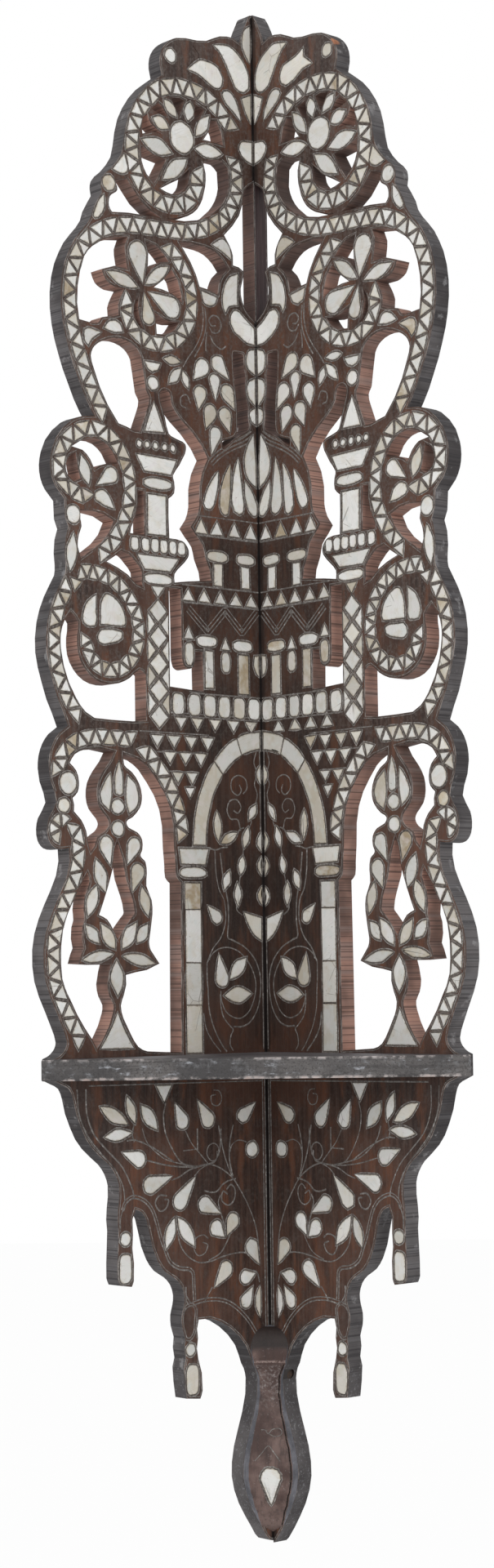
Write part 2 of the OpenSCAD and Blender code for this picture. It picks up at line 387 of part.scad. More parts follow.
disc_scroll = concat(
    ribbon([[155, 291.5], [146, 293.3], [137, 293.3], [127.5, 291], [118.5, 286.3], [111, 279], [105.6, 270],
        [103.6, 260], [104.3, 250], [108.5, 241.8], [114.5, 235.8], [122.5, 232.3], [131, 232], [138.8, 235],
        [144.3, 241], [146.6, 249], [146, 255]], 28, ribbon_w - 1.5),
    [[[157.5, 287.8], [149.8, 286.3], [155, 281]],
     shape([[138.3, 279, 1], [143.5, 275.5], [148, 268], [147.8, 261], [143, 259.3], [138.8, 260.5],
         [138.3, 268]]),
     shape([[131, 279.3], [125, 279], [118.5, 273.8], [115, 266], [115.8, 261.8], [122, 261], [134.5, 261, 1],
         [134.3, 270]]),
     shape([[136.5, 253.5], [133.5, 257.3], [126, 257.7], [118.5, 257], [118.5, 252.8], [125, 250], [132, 248.8],
         [136, 250.2]])]);
side_ribbon = ribbon([[157.6, 287.3], [162.6, 279.2], [167.2, 271], [170.2, 262], [171.5, 252], [171.3, 242],
    [169.8, 232], [166.3, 222.5], [162, 213.3], [156, 205.8], [149.3, 200]], 15, ribbon_w - 1.3);
arm_ribbon = concat(
    ribbon([[105, 189.8], [116, 189.3], [128, 189.8], [140, 189.8], [151, 188], [160, 183.8], [166.5, 177.5],
        [170, 169.5], [170.3, 162]], 13, ribbon_w - 1.1),
    [plate([161.8, 160], 6.4, 6.6), plate([165.2, 146], 4.2, 4.2)],
    [for (a = [-80, -25, 30, 85]) grow([[167, 131.3],
        for (i = [0 : 4]) [167, 131.3] + 10 * [cos(a + i * 13.75), sin(a + i * 13.75)]], -mastic_w / 2)]);
leg_ribbon = ribbon([[159.5, 138], [155.5, 130], [153.5, 121], [154.3, 112], [156.6, 102.6], [160.8, 93.6],
    [165.4, 84.7], [169.7, 75.8], [173, 67], [174.4, 57], [174.5, 47], [173.2, 38], [170.3, 29.5], [165.8, 20.5],
    [160.2, 11.5], [154.5, 3], [151, -4]], 23, ribbon_w - 1.1);
arch_ribbon = ribbon([[104, 187.5], [97, 181], [90, 174], [83.5, 166.3], [77.8, 157.8], [73.2, 149],
    [70.2, 140], [68.8, 131], [68.5, 124]], 11, ribbon_w - 1.1);
arch_outer = [60, 75];
arch_inner = [50, 64];
arch_foot = 124;
function on_arch(r, a) = [r[0] * cos(a), arch_foot + r[1] * sin(a)];
function voussoir(a, b, n = 6) = [for (i = [0 : n]) on_arch(arch_outer, a + (b - a) * i / n),
    for (i = [n : -1 : 0]) on_arch(arch_inner, a + (b - a) * i / n)];
arch = concat(
    [voussoir(0, 46), voussoir(46.8, 68.5), voussoir(69.2, 88)],
    [[[72, 121], [48, 121], [50.5, 111.5], [70.5, 111.5]], plate([60.8, 106], 11, 3.1, 0.8)],
    [for (z = [[82.7, 99], [48.7, 82], [21.7, 48], [-9, 21]]) bar(55, 67.5, z[0], z[1])]);
lamp = [
    shape([[128.2, 167, 1], [132, 162.5], [135.8, 155], [134.5, 148.5], [129.5, 144.5, 1], [128, 151],
        [127.3, 160]]),
    shape([[121, 174.5, 1], [123.8, 165], [124, 155.5], [121, 154], [118.2, 155.5], [118.3, 165]]),
    shape([[114, 166, 1], [108.5, 161], [105.5, 154], [107.8, 146.5], [113, 143, 1], [115, 150], [115.3, 159]]),
    plate([122.3, 146.5], 4.8, 4.2), plate([122.3, 132.6], 4.5, 4.5),
    drop([132, 122.5], 5, [129, 110]), leaf([140.3, 113], [133, 93], 4.4), leaf([140, 96.8], [147, 78], 4.1),
    drop([109.5, 122], 4.9, [115, 110.5]), drop([106.8, 105.8], 5.1, [111, 93.5]), leaf([103.5, 96.5], [98.5, 78], 3.6),
    leaf([148.8, 71.8], [138.7, 61.3], 3.8), leaf([136.5, 72.5], [125.7, 57.3], 3.9), leaf([120, 57.5], [108.5, 73.5], 4.3),
    leaf([108, 61], [99.3, 72.5], 3.7), leaf([151.5, 50.5], [127.5, 54.3], 3), leaf([119.5, 52.8], [93.5, 48], 3.3),
    leaf([124.7, 50], [124, 28.5], 4.8),
    shape([[124.3, 17.5, 1], [118.8, 6.5], [112, -4.5, 1], [138, -4.5, 1], [130.2, 6.5]])];
niche_flowers = [
    leaf([12, 141.5], [5.8, 151.5], 2.4), leaf([40, 146], [39, 127.3], 2.9), leaf([36.8, 125.3], [22.8, 132.3], 2.8),
    leaf([16.5, 123.3], [13, 136.3], 2.5), leaf([20, 105.5], [18, 117.3], 2.6), leaf([34.3, 95.5], [30, 107.3], 2.8),
    leaf([22.5, 85.3], [23, 99.8], 2.6), drop([41, 77.3], 3.9, [48.8, 85]),
    shape([[17.5, 80.8, 1], [2.8, 77, 1], [2.8, 63, 1], [8.5, 66.5], [13.5, 73]]),
    drop([37.3, 38.3], 5.2, [39.8, 53.5]), leaf([30.3, 38], [16.8, 50.8], 4.2), leaf([35.5, 27], [12.5, 28], 4.8),
    for (z = [171, 127, 111, 91.5]) shape([[1.8, z + 6.3, 1], [4.6, z + 2], [4.6, z - 2], [1.8, z - 5.8, 1]])];
bracket_leaves = [
    [[93.5, -28.8], [81, -28.8], [87.2, -39.3]],
    leaf([138.8, -40.3], [117.5, -51.8], 3.9), leaf([117.6, -34.5], [111.3, -51.3], 3.2), leaf([106, -40.5], [93.5, -56], 4.3),
    leaf([136, -59], [114, -57.3], 3.3), drop([72.5, -51.8], 4.8, [78.3, -40.3]), drop([51, -51.8], 4.8, [59.3, -39.3]),
    drop([21, -50.3], 4.4, [10.3, -42.5]), plate([13.5, -72.5], 4.6, 4.6), drop([108.5, -74], 4.8, [122, -69]),
    drop([99.5, -90.7], 5.2, [81.5, -86]), drop([75, -102], 5.2, [62.3, -87.3]), leaf([80, -112.3], [87, -130.8], 3.6),
    leaf([77.3, -112.3], [63.8, -130.8], 4.3), drop([54.5, -105.5], 5, [41.3, -111.8]), drop([45, -121], 4.8, [38.3, -127]),
    drop([31, -117.2], 4.8, [36, -126]), drop([15, -135], 4.8, [9, -146]), drop([37.5, -147.5], 5, [47.3, -158.3]),
    drop([20.5, -153.8], 4.3, [11.8, -152]), drop([20.3, -169], 4.4, [14.5, -160.3]),
    shape([[8.3, -160.5, 1], [7.8, -170], [8.5, -180, 1], [12, -173], [11.5, -166]])];
tassels = [plate([119.8, -122.8], 4, 4), plate([120.2, -141], 4.5, 8.8, 0.55),
    plate([67.8, -195.5], 3.7, 3.7), plate([66.6, -214.5], 4.7, 9.2, 0.55)];

function wing_pearl(left) = concat(crest_petals(left), rosette, rosette_ribbon, shoulder_ribbon, flower,
    flower_ribbon, corner_emblem, grapes, dome, bands(left), gallery_columns, balustrade, minaret, lattice,
    leaf_scroll, disc_scroll, side_ribbon, arm_ribbon, leg_ribbon, arch_ribbon, arch, lamp, niche_flowers,
    bracket_leaves, tassels);

// Boards and inlay

// The face of the left board: u along X, height along Y, depth into the wood along Z
module left_wing() { rotate([90, 0, 225]) children(); }
module right_wing() { mirror([1, 0, 0]) left_wing() children(); }
module inlay(pieces, wider) {
    for (p = pieces)
        linear_extrude(inlay_depth) polygon(real_all(p, wider));
}
module pockets(pieces, wider) {
    for (p = pieces)
        translate([0, 0, -cut]) linear_extrude(inlay_depth + cut) polygon(grow(real_all(p, wider), inlay_fit));
}
module pierced_board(edge, openings, wider) {
    linear_extrude(board_t) difference() {
        polygon(real_all(edge, wider));
        for (k = openings)
            polygon(real_all(outline(k), wider));
    }
}
module left_board() {
    back_u = -board_t / su;
    color(wood) difference() {
        left_wing() difference() {
            pierced_board(wing_edge(back_u), concat(sawn_openings, [corner_opening(0)]), 0);
            pockets(wing_pearl(true), 0);
        }
        nail_spaces();
    }
}
module right_board() {
    color(wood) difference() {
        right_wing() difference() {
            pierced_board(wing_edge(0), concat(sawn_openings, [corner_opening(-cut)]), right_wider);
            pockets(wing_pearl(false), right_wider);
        }
        nail_spaces();
    }
}

// Shelf

shelf_reach = (drawn_shelf[0] * su + shelf_past) / sqrt(2);
module shelf() {
    color(grey_wood) difference() {
        translate([0, 0, -shelf_t]) linear_extrude(shelf_t)
            polygon([[0, 0], [-shelf_reach, -shelf_reach], [-shelf_reach, -shelf_reach - shelf_lip],
                [shelf_reach, -shelf_reach - shelf_lip], [shelf_reach, -shelf_reach]]);
        nail_spaces();
    }
}

// Finial block: fills the corner between the two tails. Its sides carry on the boards' sawn
// edges, its front bulges and its top is a rounded hood

block_side = concat([[0, -186, 1], [17, -186, 1], [17, -203], [15.4, -210, 1]], tail_edge,
    [[0, -323, 1]]);
block_bulge = [[0, -186, 1], [7, -188], [11, -193.5], [12.6, -201], [12.4, -208, 1], [10.2, -213.5], [9.8, -221],
    [11, -232], [14.6, -246], [18.4, -258], [20.6, -270], [21, -281], [19.2, -292], [14.6, -302.5], [8, -312],
    [0, -318, 1]];
block_reach = 30;
drop_z = -280.5;
drop_r = 6.2;
drop_tip = -298;
module tail_prism() {
    translate([0, 0, -block_reach]) linear_extrude(block_reach) polygon(real_all(outline(block_side)));
}
module block_form() {
    intersection() {
        left_wing() tail_prism();
        right_wing() tail_prism();
        rotate([90, 0, 90]) translate([0, 0, -block_reach]) linear_extrude(2 * block_reach)
            mirror([1, 0]) polygon(real_all(outline(block_bulge)));
    }
}
module drop_prism(room) {
    rotate([90, 0, 0]) linear_extrude(block_reach)
        polygon(grow(drop([0, real_z(drop_z)], drop_r, [0, real_z(drop_tip)], 16), room));
}
module finial_block() {
    color(dark_wood) difference() {
        block_form();
        difference() {
            drop_prism(inlay_fit);
            translate([0, inlay_depth, 0]) block_form();
        }
        nail_spaces();
    }
}
module finial_drop() {
    color(pearl) difference() {
        intersection() {
            block_form();
            drop_prism(0);
        }
        translate([0, inlay_depth, 0]) block_form();
    }
}

// Nails, all with their heads flush in the wood

corner_nail_z = [632, 452, 320, 208, 104, 20, -60, -130];
shelf_nail_u = [38, 112];
block_nail_u = 4;
block_nail_z = [-256, -268];
tail_nail_z = -217;
tail_nail_u = 12.3;
// Nail along +Z with its head's face at z = 0; with room it is the hole for the nail,
// open in front of the head
module nail(long, room) {
    front = room > 0 ? 2 * cut : 0;
    translate([0, 0, -front]) cylinder(d = nail_head_d + 2 * room, h = nail_head_t + front);
    cylinder(d = nail_d + 2 * room, h = long + room);
}
// A nail driven into the back of a board at [u, z]
module back_nail(at, long, room) {
    translate([at[0], at[1], board_t]) mirror([0, 0, 1]) nail(long, room);
}
module corner_nail_set(room) {
    left_wing()
        for (z = corner_nail_z)
            back_nail([-board_t / 2, real_z(z)], board_t + nail_bite, room);
}
module shelf_nail_set(room) {
    for (u = shelf_nail_u) {
        left_wing() back_nail([u * su, -shelf_t / 2], board_t + nail_bite, room);
        right_wing() back_nail([u * su, -shelf_t / 2], board_t + nail_bite, room);
    }
}
module block_nail_set(room) {
    left_wing() back_nail([block_nail_u, real_z(block_nail_z[0])], board_t + block_bite, room);
    right_wing() back_nail([block_nail_u, real_z(block_nail_z[1])], board_t + block_bite, room);
}
// One nail through the edge of the right tail into the left board
module tail_nail_set(room) {
    right_wing() translate([tail_nail_u * su - nail_head_t, real_z(tail_nail_z), board_t / 2])
        rotate([0, -90, 0]) nail(tail_nail_u * su + board_t / 2, room);
}
module nail_spaces() {
    corner_nail_set(nail_fit);
    shelf_nail_set(nail_fit);
    block_nail_set(nail_fit);
    tail_nail_set(nail_fit);
}
module corner_nails() { color(iron) corner_nail_set(0); }
module shelf_nails() { color(iron) shelf_nail_set(0); }
module block_nails() { color(iron) block_nail_set(0); }
module tail_nail() { color(iron) tail_nail_set(0); }

// Pearl sub-parts of the two wings

module left_pearl(pieces) { color(pearl) left_wing() inlay(pieces, 0); }
module right_pearl(pieces) { color(pearl) right_wing() inlay(pieces, right_wider); }
module left_crest_petals() { left_pearl(crest_petals(true)); }
module right_crest_petals() { right_pearl(crest_petals(false)); }
module left_rosette() { left_pearl(rosette); }
module right_rosette() { right_pearl(rosette); }
module left_rosette_ribbon() { left_pearl(rosette_ribbon); }
module right_rosette_ribbon() { right_pearl(rosette_ribbon); }
module left_shoulder_ribbon() { left_pearl(shoulder_ribbon); }
module right_shoulder_ribbon() { right_pearl(shoulder_ribbon); }
module left_flower() { left_pearl(flower); }
module right_flower() { right_pearl(flower); }
module left_flower_ribbon() { left_pearl(flower_ribbon); }
module right_flower_ribbon() { right_pearl(flower_ribbon); }
module left_corner_emblem() { left_pearl(corner_emblem); }
module right_corner_emblem() { right_pearl(corner_emblem); }
module left_grapes() { left_pearl(grapes); }
module right_grapes() { right_pearl(grapes); }
module left_dome() { left_pearl(dome); }
module right_dome() { right_pearl(dome); }
module left_bands() { left_pearl(bands(true)); }
module right_bands() { right_pearl(bands(false)); }
module left_gallery_columns() { left_pearl(gallery_columns); }
module right_gallery_columns() { right_pearl(gallery_columns); }
module left_balustrade() { left_pearl(balustrade); }
module right_balustrade() { right_pearl(balustrade); }
module left_minaret() { left_pearl(minaret); }
module right_minaret() { right_pearl(minaret); }
module left_lattice() { left_pearl(lattice); }
module right_lattice() { right_pearl(lattice); }
module left_leaf_scroll() { left_pearl(leaf_scroll); }
module right_leaf_scroll() { right_pearl(leaf_scroll); }
module left_disc_scroll() { left_pearl(disc_scroll); }
module right_disc_scroll() { right_pearl(disc_scroll); }
module left_side_ribbon() { left_pearl(side_ribbon); }
module right_side_ribbon() { right_pearl(side_ribbon); }
module left_arm_ribbon() { left_pearl(arm_ribbon); }
module right_arm_ribbon() { right_pearl(arm_ribbon); }
module left_leg_ribbon() { left_pearl(leg_ribbon); }
module right_leg_ribbon() { right_pearl(leg_ribbon); }
module left_arch_ribbon() { left_pearl(arch_ribbon); }
module right_arch_ribbon() { right_pearl(arch_ribbon); }
module left_arch() { left_pearl(arch); }
module right_arch() { right_pearl(arch); }
module left_lamp() { left_pearl(lamp); }
module right_lamp() { right_pearl(lamp); }
module left_niche_flowers() { left_pearl(niche_flowers); }
module right_niche_flowers() { right_pearl(niche_flowers); }
module left_bracket_leaves() { left_pearl(bracket_leaves); }
module right_bracket_leaves() { right_pearl(bracket_leaves); }
module left_tassels() { left_pearl(tassels); }
module right_tassels() { right_pearl(tassels); }

left_board();
right_board();
shelf();
finial_block();
finial_drop();
corner_nails();
shelf_nails();
block_nails();
tail_nail();
left_crest_petals();
right_crest_petals();
left_rosette();
right_rosette();
left_rosette_ribbon();
right_rosette_ribbon();
left_shoulder_ribbon();
right_shoulder_ribbon();
left_flower();
right_flower();
left_flower_ribbon();
right_flower_ribbon();
left_corner_emblem();
right_corner_emblem();
left_grapes();
right_grapes();
left_dome();
right_dome();
left_bands();
right_bands();
left_gallery_columns();
right_gallery_columns();
left_balustrade();
right_balustrade();
left_minaret();
right_minaret();
left_lattice();
right_lattice();
left_leaf_scroll();
right_leaf_scroll();
left_disc_scroll();
right_disc_scroll();
left_side_ribbon();
right_side_ribbon();
left_arm_ribbon();
right_arm_ribbon();
left_leg_ribbon();
right_leg_ribbon();
left_arch_ribbon();
right_arch_ribbon();
left_arch();
right_arch();
left_lamp();
right_lamp();
left_niche_flowers();
right_niche_flowers();
left_bracket_leaves();
right_bracket_leaves();
left_tassels();
right_tassels();
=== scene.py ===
import math

import bmesh
import bpy
import numpy as np
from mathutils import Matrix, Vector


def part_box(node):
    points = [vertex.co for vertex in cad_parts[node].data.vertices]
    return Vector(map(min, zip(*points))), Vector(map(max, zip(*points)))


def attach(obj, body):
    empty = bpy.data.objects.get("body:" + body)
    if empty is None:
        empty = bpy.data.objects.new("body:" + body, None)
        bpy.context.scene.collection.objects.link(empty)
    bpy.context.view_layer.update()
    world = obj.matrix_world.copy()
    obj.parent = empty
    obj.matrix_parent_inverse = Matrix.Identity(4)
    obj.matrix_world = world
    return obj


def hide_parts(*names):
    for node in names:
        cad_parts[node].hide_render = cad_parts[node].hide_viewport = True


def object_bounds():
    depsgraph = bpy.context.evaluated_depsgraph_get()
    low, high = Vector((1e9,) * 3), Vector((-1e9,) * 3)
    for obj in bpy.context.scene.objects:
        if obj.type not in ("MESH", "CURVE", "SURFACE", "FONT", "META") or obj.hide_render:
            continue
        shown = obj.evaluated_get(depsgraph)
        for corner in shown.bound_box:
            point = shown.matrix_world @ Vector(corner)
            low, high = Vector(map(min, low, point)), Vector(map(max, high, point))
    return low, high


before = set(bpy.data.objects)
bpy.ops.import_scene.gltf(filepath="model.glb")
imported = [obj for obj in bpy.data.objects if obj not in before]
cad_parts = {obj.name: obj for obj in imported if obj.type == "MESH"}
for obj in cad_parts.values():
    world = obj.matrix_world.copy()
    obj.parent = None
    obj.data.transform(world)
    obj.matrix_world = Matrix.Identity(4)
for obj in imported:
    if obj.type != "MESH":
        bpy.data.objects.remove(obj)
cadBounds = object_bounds()
print("frame:", len(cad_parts), "nodes")

mm = 0.001
diag = math.sqrt(0.5)
samePlace = 0.01 * mm                   # points nearer than this are one
wings = {"left": -1.0, "right": 1.0}    # the sign of x on each wing
chance = np.random.default_rng(41)      # one seeded source for every uneven tone and tilt


# Points on the wings

wingShape = {"width": 183.0, "rightWider": 4.0, "from": 310.0, "to": 430.0}    # millimetres


def faceOut(side):
    # unit vector that leaves a wing's front face
    return np.array([-wings[side] * diag, -diag, 0.0])


def onWing(side, u, z, rise=0.0):
    # u runs along the wing from the corner, z up, rise leaves the face; millimetres in, metres out
    u, z, rise = np.broadcast_arrays(u, z, rise)
    return np.stack([wings[side] * (u - rise) * diag, -(u + rise) * diag, z], -1) * mm


def faceFlat(side, points):
    # back from the frame to (u, z) on the face, in millimetres
    return np.stack([(points[:, 0] * wings[side] - points[:, 1]) * diag, points[:, 2]], 1) / mm


def drawnOn(side, path):
    # the design is one for both wings, but the right wing widens a little between two heights
    share = np.clip((path[:, 1] - wingShape["from"]) / (wingShape["to"] - wingShape["from"]), 0, 1)
    more = wingShape["rightWider"] / wingShape["width"] * share ** 2 * (3 - 2 * share) * (side == "right")
    return np.stack([path[:, 0] * (1 + more), path[:, 1]], 1)


# Reading the solids

def welded(mesh):
    # a mesh's triangles with their doubled corners merged: points and index rows
    work = bmesh.new()
    work.from_mesh(mesh)
    bmesh.ops.remove_doubles(work, verts=work.verts, dist=samePlace)
    bmesh.ops.triangulate(work, faces=work.faces)
    data = bpy.data.meshes.new("welded")
    work.to_mesh(data)
    work.free()
    spots = np.empty(len(data.vertices) * 3)
    rows = np.empty(len(data.loops), int)
    data.vertices.foreach_get("co", spots)
    data.loops.foreach_get("vertex_index", rows)
    bpy.data.meshes.remove(data)
    return spots.reshape(-1, 3), rows.reshape(-1, 3)


def cadSurface(node):
    return welded(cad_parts[node].data)


def unit(rows):
    # each row over its own length
    return rows / np.maximum(np.linalg.norm(rows, axis=1), 1e-15)[:, None]


def rowNormals(points, rows):
    # unit normal of each triangle: the cross product of two sides over its length
    first, second, third = points[rows.T]
    return unit(np.cross(second - first, third - first))


def rowEnds(rows):
    # the three sides of every triangle, as pairs of points
    return np.concatenate([rows[:, [0, 1]], rows[:, [1, 2]], rows[:, [2, 0]]])


def islands(count, ends):
    # number of the connected group of each point: every point takes its neighbours' lowest label
    label = np.arange(count)
    while True:
        low = np.minimum(label[ends[:, 0]], label[ends[:, 1]])
        fresh = label.copy()
        np.minimum.at(fresh, ends[:, 0], low)
        np.minimum.at(fresh, ends[:, 1], low)
        fresh = fresh[fresh]
        if (fresh == label).all():
            return np.unique(label, return_inverse=True)[1]
        label = fresh


def rim(points, rows, out):
    # the open edge of a flat patch, walked round: rim points, the place of the next one, and the lead there
    ends = rowEnds(rows)
    there = ends[:, 0] * len(points) + ends[:, 1]
    back = ends[:, 1] * len(points) + ends[:, 0]
    ends = ends[~np.isin(there, back)]
    ends = ends[np.argsort(ends[:, 0], kind="stable")]
    spot = ends[:, 0]
    follow = np.searchsorted(spot, ends[:, 1])
    return spot, follow, rimLead(points[spot], follow, out)


def rimLead(base, follow, out, least=0.7):
    # the direction that leaves a patch at its rim: sum of the two edge normals over 1 + their cosine, where
    # the divisor stays over least so that sharp corners don't run far out
    away = np.cross(unit(base[follow] - base), out)
    before = np.argsort(follow)
    return (away + away[before]) / np.maximum(1 + (away * away[before]).sum(1), least)[:, None]


rimSteps = 3    # points for each side of a rounded rim


def roundedRim(base, follow, corner=40):
    # each side of a rim in steps on a cubic whose slopes follow the neighbours; turns over corner degrees
    # stay corners
    before = np.argsort(follow)
    side = base[follow] - base
    size = np.maximum(np.linalg.norm(side, axis=1), 1e-12)
    course = side / size[:, None]
    smooth = (course * course[before]).sum(1) > math.cos(math.radians(corner))
    chord = unit(base[follow] - base[before])
    pull = np.minimum(size, 2 * np.minimum(size[before], size[follow]))[:, None]
    leaving = np.where(smooth[:, None], chord, course) * pull
    coming = np.where(smooth[follow][:, None], chord[follow], course) * pull
    steps = []
    for t in np.arange(rimSteps) / rimSteps:
        straight = t * t * (3 - 2 * t)
        steps.append(base + side * straight + leaving * t * (1 - t) ** 2 - coming * t * t * (1 - t))
    first = np.arange(len(base)) * rimSteps
    onward = np.stack([*(first + k for k in range(1, rimSteps)), follow * rimSteps], 1)
    return np.stack(steps, 1).reshape(-1, 3), onward.reshape(-1)


def inOrder(follow, label):
    # rim points loop by loop as they are walked: each adds up its steps to the loop's end, doubling its reach
    first = np.unique(label, return_index=True)[1]
    stop = np.isin(follow, first)
    ahead = np.where(stop, np.arange(len(follow)), follow)
    steps = np.where(stop, 0, 1)
    for k in range(int(np.ceil(np.log2(len(follow)))) + 1):
        steps = steps + steps[ahead]
        ahead = ahead[ahead]
    return np.split(np.lexsort((-steps, label)), np.cumsum(np.bincount(label))[:-1])


def nearest(spots, starts, finishes, skip=None, atOnce=1500000):
    # distance of each spot from the nearest of many straight pieces: the foot of the drop, clipped to the
    # piece; skip holds a label per spot and per piece, and equal labels aren't measured
    found = np.full(len(spots), 1e9)
    span = finishes - starts
    size = np.maximum((span * span).sum(1), 1e-18)
    for part in np.array_split(np.arange(len(spots)), len(spots) * len(starts) // atOnce + 1):
        gap = spots[part][:, None, :] - starts[None]
        share = np.clip((gap * span[None]).sum(2) / size, 0, 1)
        far = np.linalg.norm(gap - share[..., None] * span[None], axis=2)
        if skip is not None:
            far[skip[0][part][:, None] == skip[1][None]] = 1e9
        found[part] = far.min(1)
    return found


# Making pieces

def plainMesh(name, points, faces):
    # faces is a list of index arrays, each with its own number of corners
    data = bpy.data.meshes.new(name)
    data.from_pydata(points.tolist(), [], [row for part in faces for row in part.tolist()])
    return data


def addPiece(name, points, faces, material, replaced=(), values=None, uv=None, sharpAngle=30):
    # a mesh on its own object, riding on the root body; values holds (domain, row) for each attribute, and uv
    # one place for each point
    data = plainMesh(name, points, faces)
    data.materials.append(material)
    for key, (where, row) in (values or {}).items():
        data.attributes.new(key, "FLOAT", where).data.foreach_set("value", np.asarray(row, float))
    if uv is not None:
        corner = np.empty(len(data.loops), int)
        data.loops.foreach_get("vertex_index", corner)
        data.uv_layers.new(name="grain").data.foreach_set("uv", np.asarray(uv, float)[corner].ravel())
    data.shade_smooth()
    data.set_sharp_from_angle(angle=math.radians(sharpAngle))
    piece = bpy.data.objects.new(name, data)
    bpy.context.scene.collection.objects.link(piece)
    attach(piece, "root")
    if replaced:
        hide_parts(*replaced)
    return piece


def bandFaces(count, follow, steps):
    # quads between the rings of a profile carried round a rim
    here = np.arange(count)
    quad = np.stack([here, count + here, count + follow, follow], 1)
    return [quad + k * count for k in range(steps - 1)]


def stripFaces(here, count, steps):
    # quads between the rings of a profile carried along open paths, at the places in here
    quad = np.stack([here, here + 1, count + here + 1, count + here], 1)
    return [quad + k * count for k in range(steps - 1)]


# Shader arithmetic

class Value:
    # a socket that can be used in arithmetic
    def __init__(self, tree, socket=None):
        self.tree = tree
        self.socket = socket

    def node(self, kind, settings, sockets, output=0):
        # a new node: its settings first, then the values or links of its sockets
        made = self.tree.nodes.new(kind)
        for key, setting in settings.items():
            setattr(made, key, setting)
        for key, given in sockets.items():
            if isinstance(given, Value):
                self.tree.links.new(given.socket, made.inputs[key])
            else:
                made.inputs[key].default_value = given
        return Value(self.tree, made.outputs[output])

    def math(self, operation, *given, clamp=False):
        settings = {"operation": operation, "use_clamp": clamp}
        return self.node("ShaderNodeMath", settings, dict(enumerate(given)))

    def __add__(self, other):
        return self.math("ADD", self, other)

    __radd__ = __add__

    def __sub__(self, other):
        return self.math("SUBTRACT", self, other)

    def __rsub__(self, other):
        return self.math("SUBTRACT", other, self)

    def __mul__(self, other):
        return self.math("MULTIPLY", self, other)

    __rmul__ = __mul__

    def held(self):
        return self.math("ADD", self, 0.0, clamp=True)

    def step(self, low, high):
        # 0 below low, 1 above high, smooth between
        return self.node("ShaderNodeMapRange", {"interpolation_type": "SMOOTHSTEP"},
                         {"Value": self, "From Min": low, "From Max": high})

    def between(self, foot, head):
        # 1 from above the foot's two values to below the head's
        return self.step(*foot) * (1 - self.step(*head))

    def tint(self, first, second):
        # the colour that lies this far from first to second
        first, second = [(*tone, 1.0) if isinstance(tone, tuple) else tone for tone in (first, second)]
        return self.node("ShaderNodeMix", {"data_type": "RGBA"}, {0: self, 6: first, 7: second}, 2)

    def noise(self, scale, detail=3.0, rough=0.55, twist=0.0):
        return self.node("ShaderNodeTexNoise", {}, {"Vector": self, "Scale": scale, "Detail": detail,
                                                    "Roughness": rough, "Distortion": twist})

    def stretched(self, scale, turn=(0, 0, 0), shift=(0, 0, 0)):
        return self.node("ShaderNodeMapping", {}, {"Vector": self, "Scale": scale, "Rotation": turn,
                                                   "Location": shift})

    def along(self, axis):
        # one coordinate of a place, in millimetres
        return self.node("ShaderNodeSeparateXYZ", {}, {"Vector": self}, axis) * (1 / mm)

    def attribute(self, name):
        return self.node("ShaderNodeAttribute", {"attribute_name": name}, {}, "Fac")

    def place(self):
        return self.node("ShaderNodeTexCoord", {}, {}, "Object")


def newMaterial(name):
    material = bpy.data.materials.new(name)
    material.use_nodes = True
    tree = material.node_tree
    return material, Value(tree), tree.nodes["Principled BSDF"]


def layered(colour, *layers):
    # lays tones over a colour one after another; a layer is (mask, share, tone)
    for mask, share, tone in layers:
        colour = (mask * share).tint(colour, tone)
    return colour


def feed(shader, start, colour, rough, height=None, strength=0.3, distance=0.0003, **fixed):
    # joins what changes over the surface to the shader, and sets the rest on its own sockets
    tree = start.tree
    tree.links.new(colour.socket, shader.inputs["Base Color"])
    tree.links.new(rough.socket, shader.inputs["Roughness"])
    if height is not None:
        bump = start.node("ShaderNodeBump", {},
                          {"Height": height, "Strength": strength, "Distance": distance})
        tree.links.new(bump.socket, shader.inputs["Normal"])
    for key, given in fixed.items():
        shader.inputs[key.replace("_", " ")].default_value = given


# Finishes

faceKind = {"front": 0, "arris": 1, "inner": 2, "outer": 3, "back": 4, "pocket": 5}
# millimetres from the corner
waxAndShadeLook = {"left": (1.6, 2.6), "right": (4.0, 5.6), "deepWaxAndShade": (1.2, 2.2), "nicheShade": (62.0, 92.0),
           "shaded": (24.0, 32.0), "behind": (-1.2, -0.4)}
# millimetres up, each as its foot and its head or as a foot alone
wearAndShadeLook = {"nicheShade": ((-6.0, 2.0), (325.0, 350.0)), "shaded": ((385.0, 395.0), (580.0, 600.0)),
            "flower": ((455.0, 475.0), (600.0, 620.0)), "tails": (-212.0, -190.0), "crumbs": (180.0, 215.0)}
# metres, shares and millimetres
chipLook = {"place": (0.0, -0.0805, 0.6545), "flat": (0.6, 1, 1), "reach": (2.6, 4.4)}


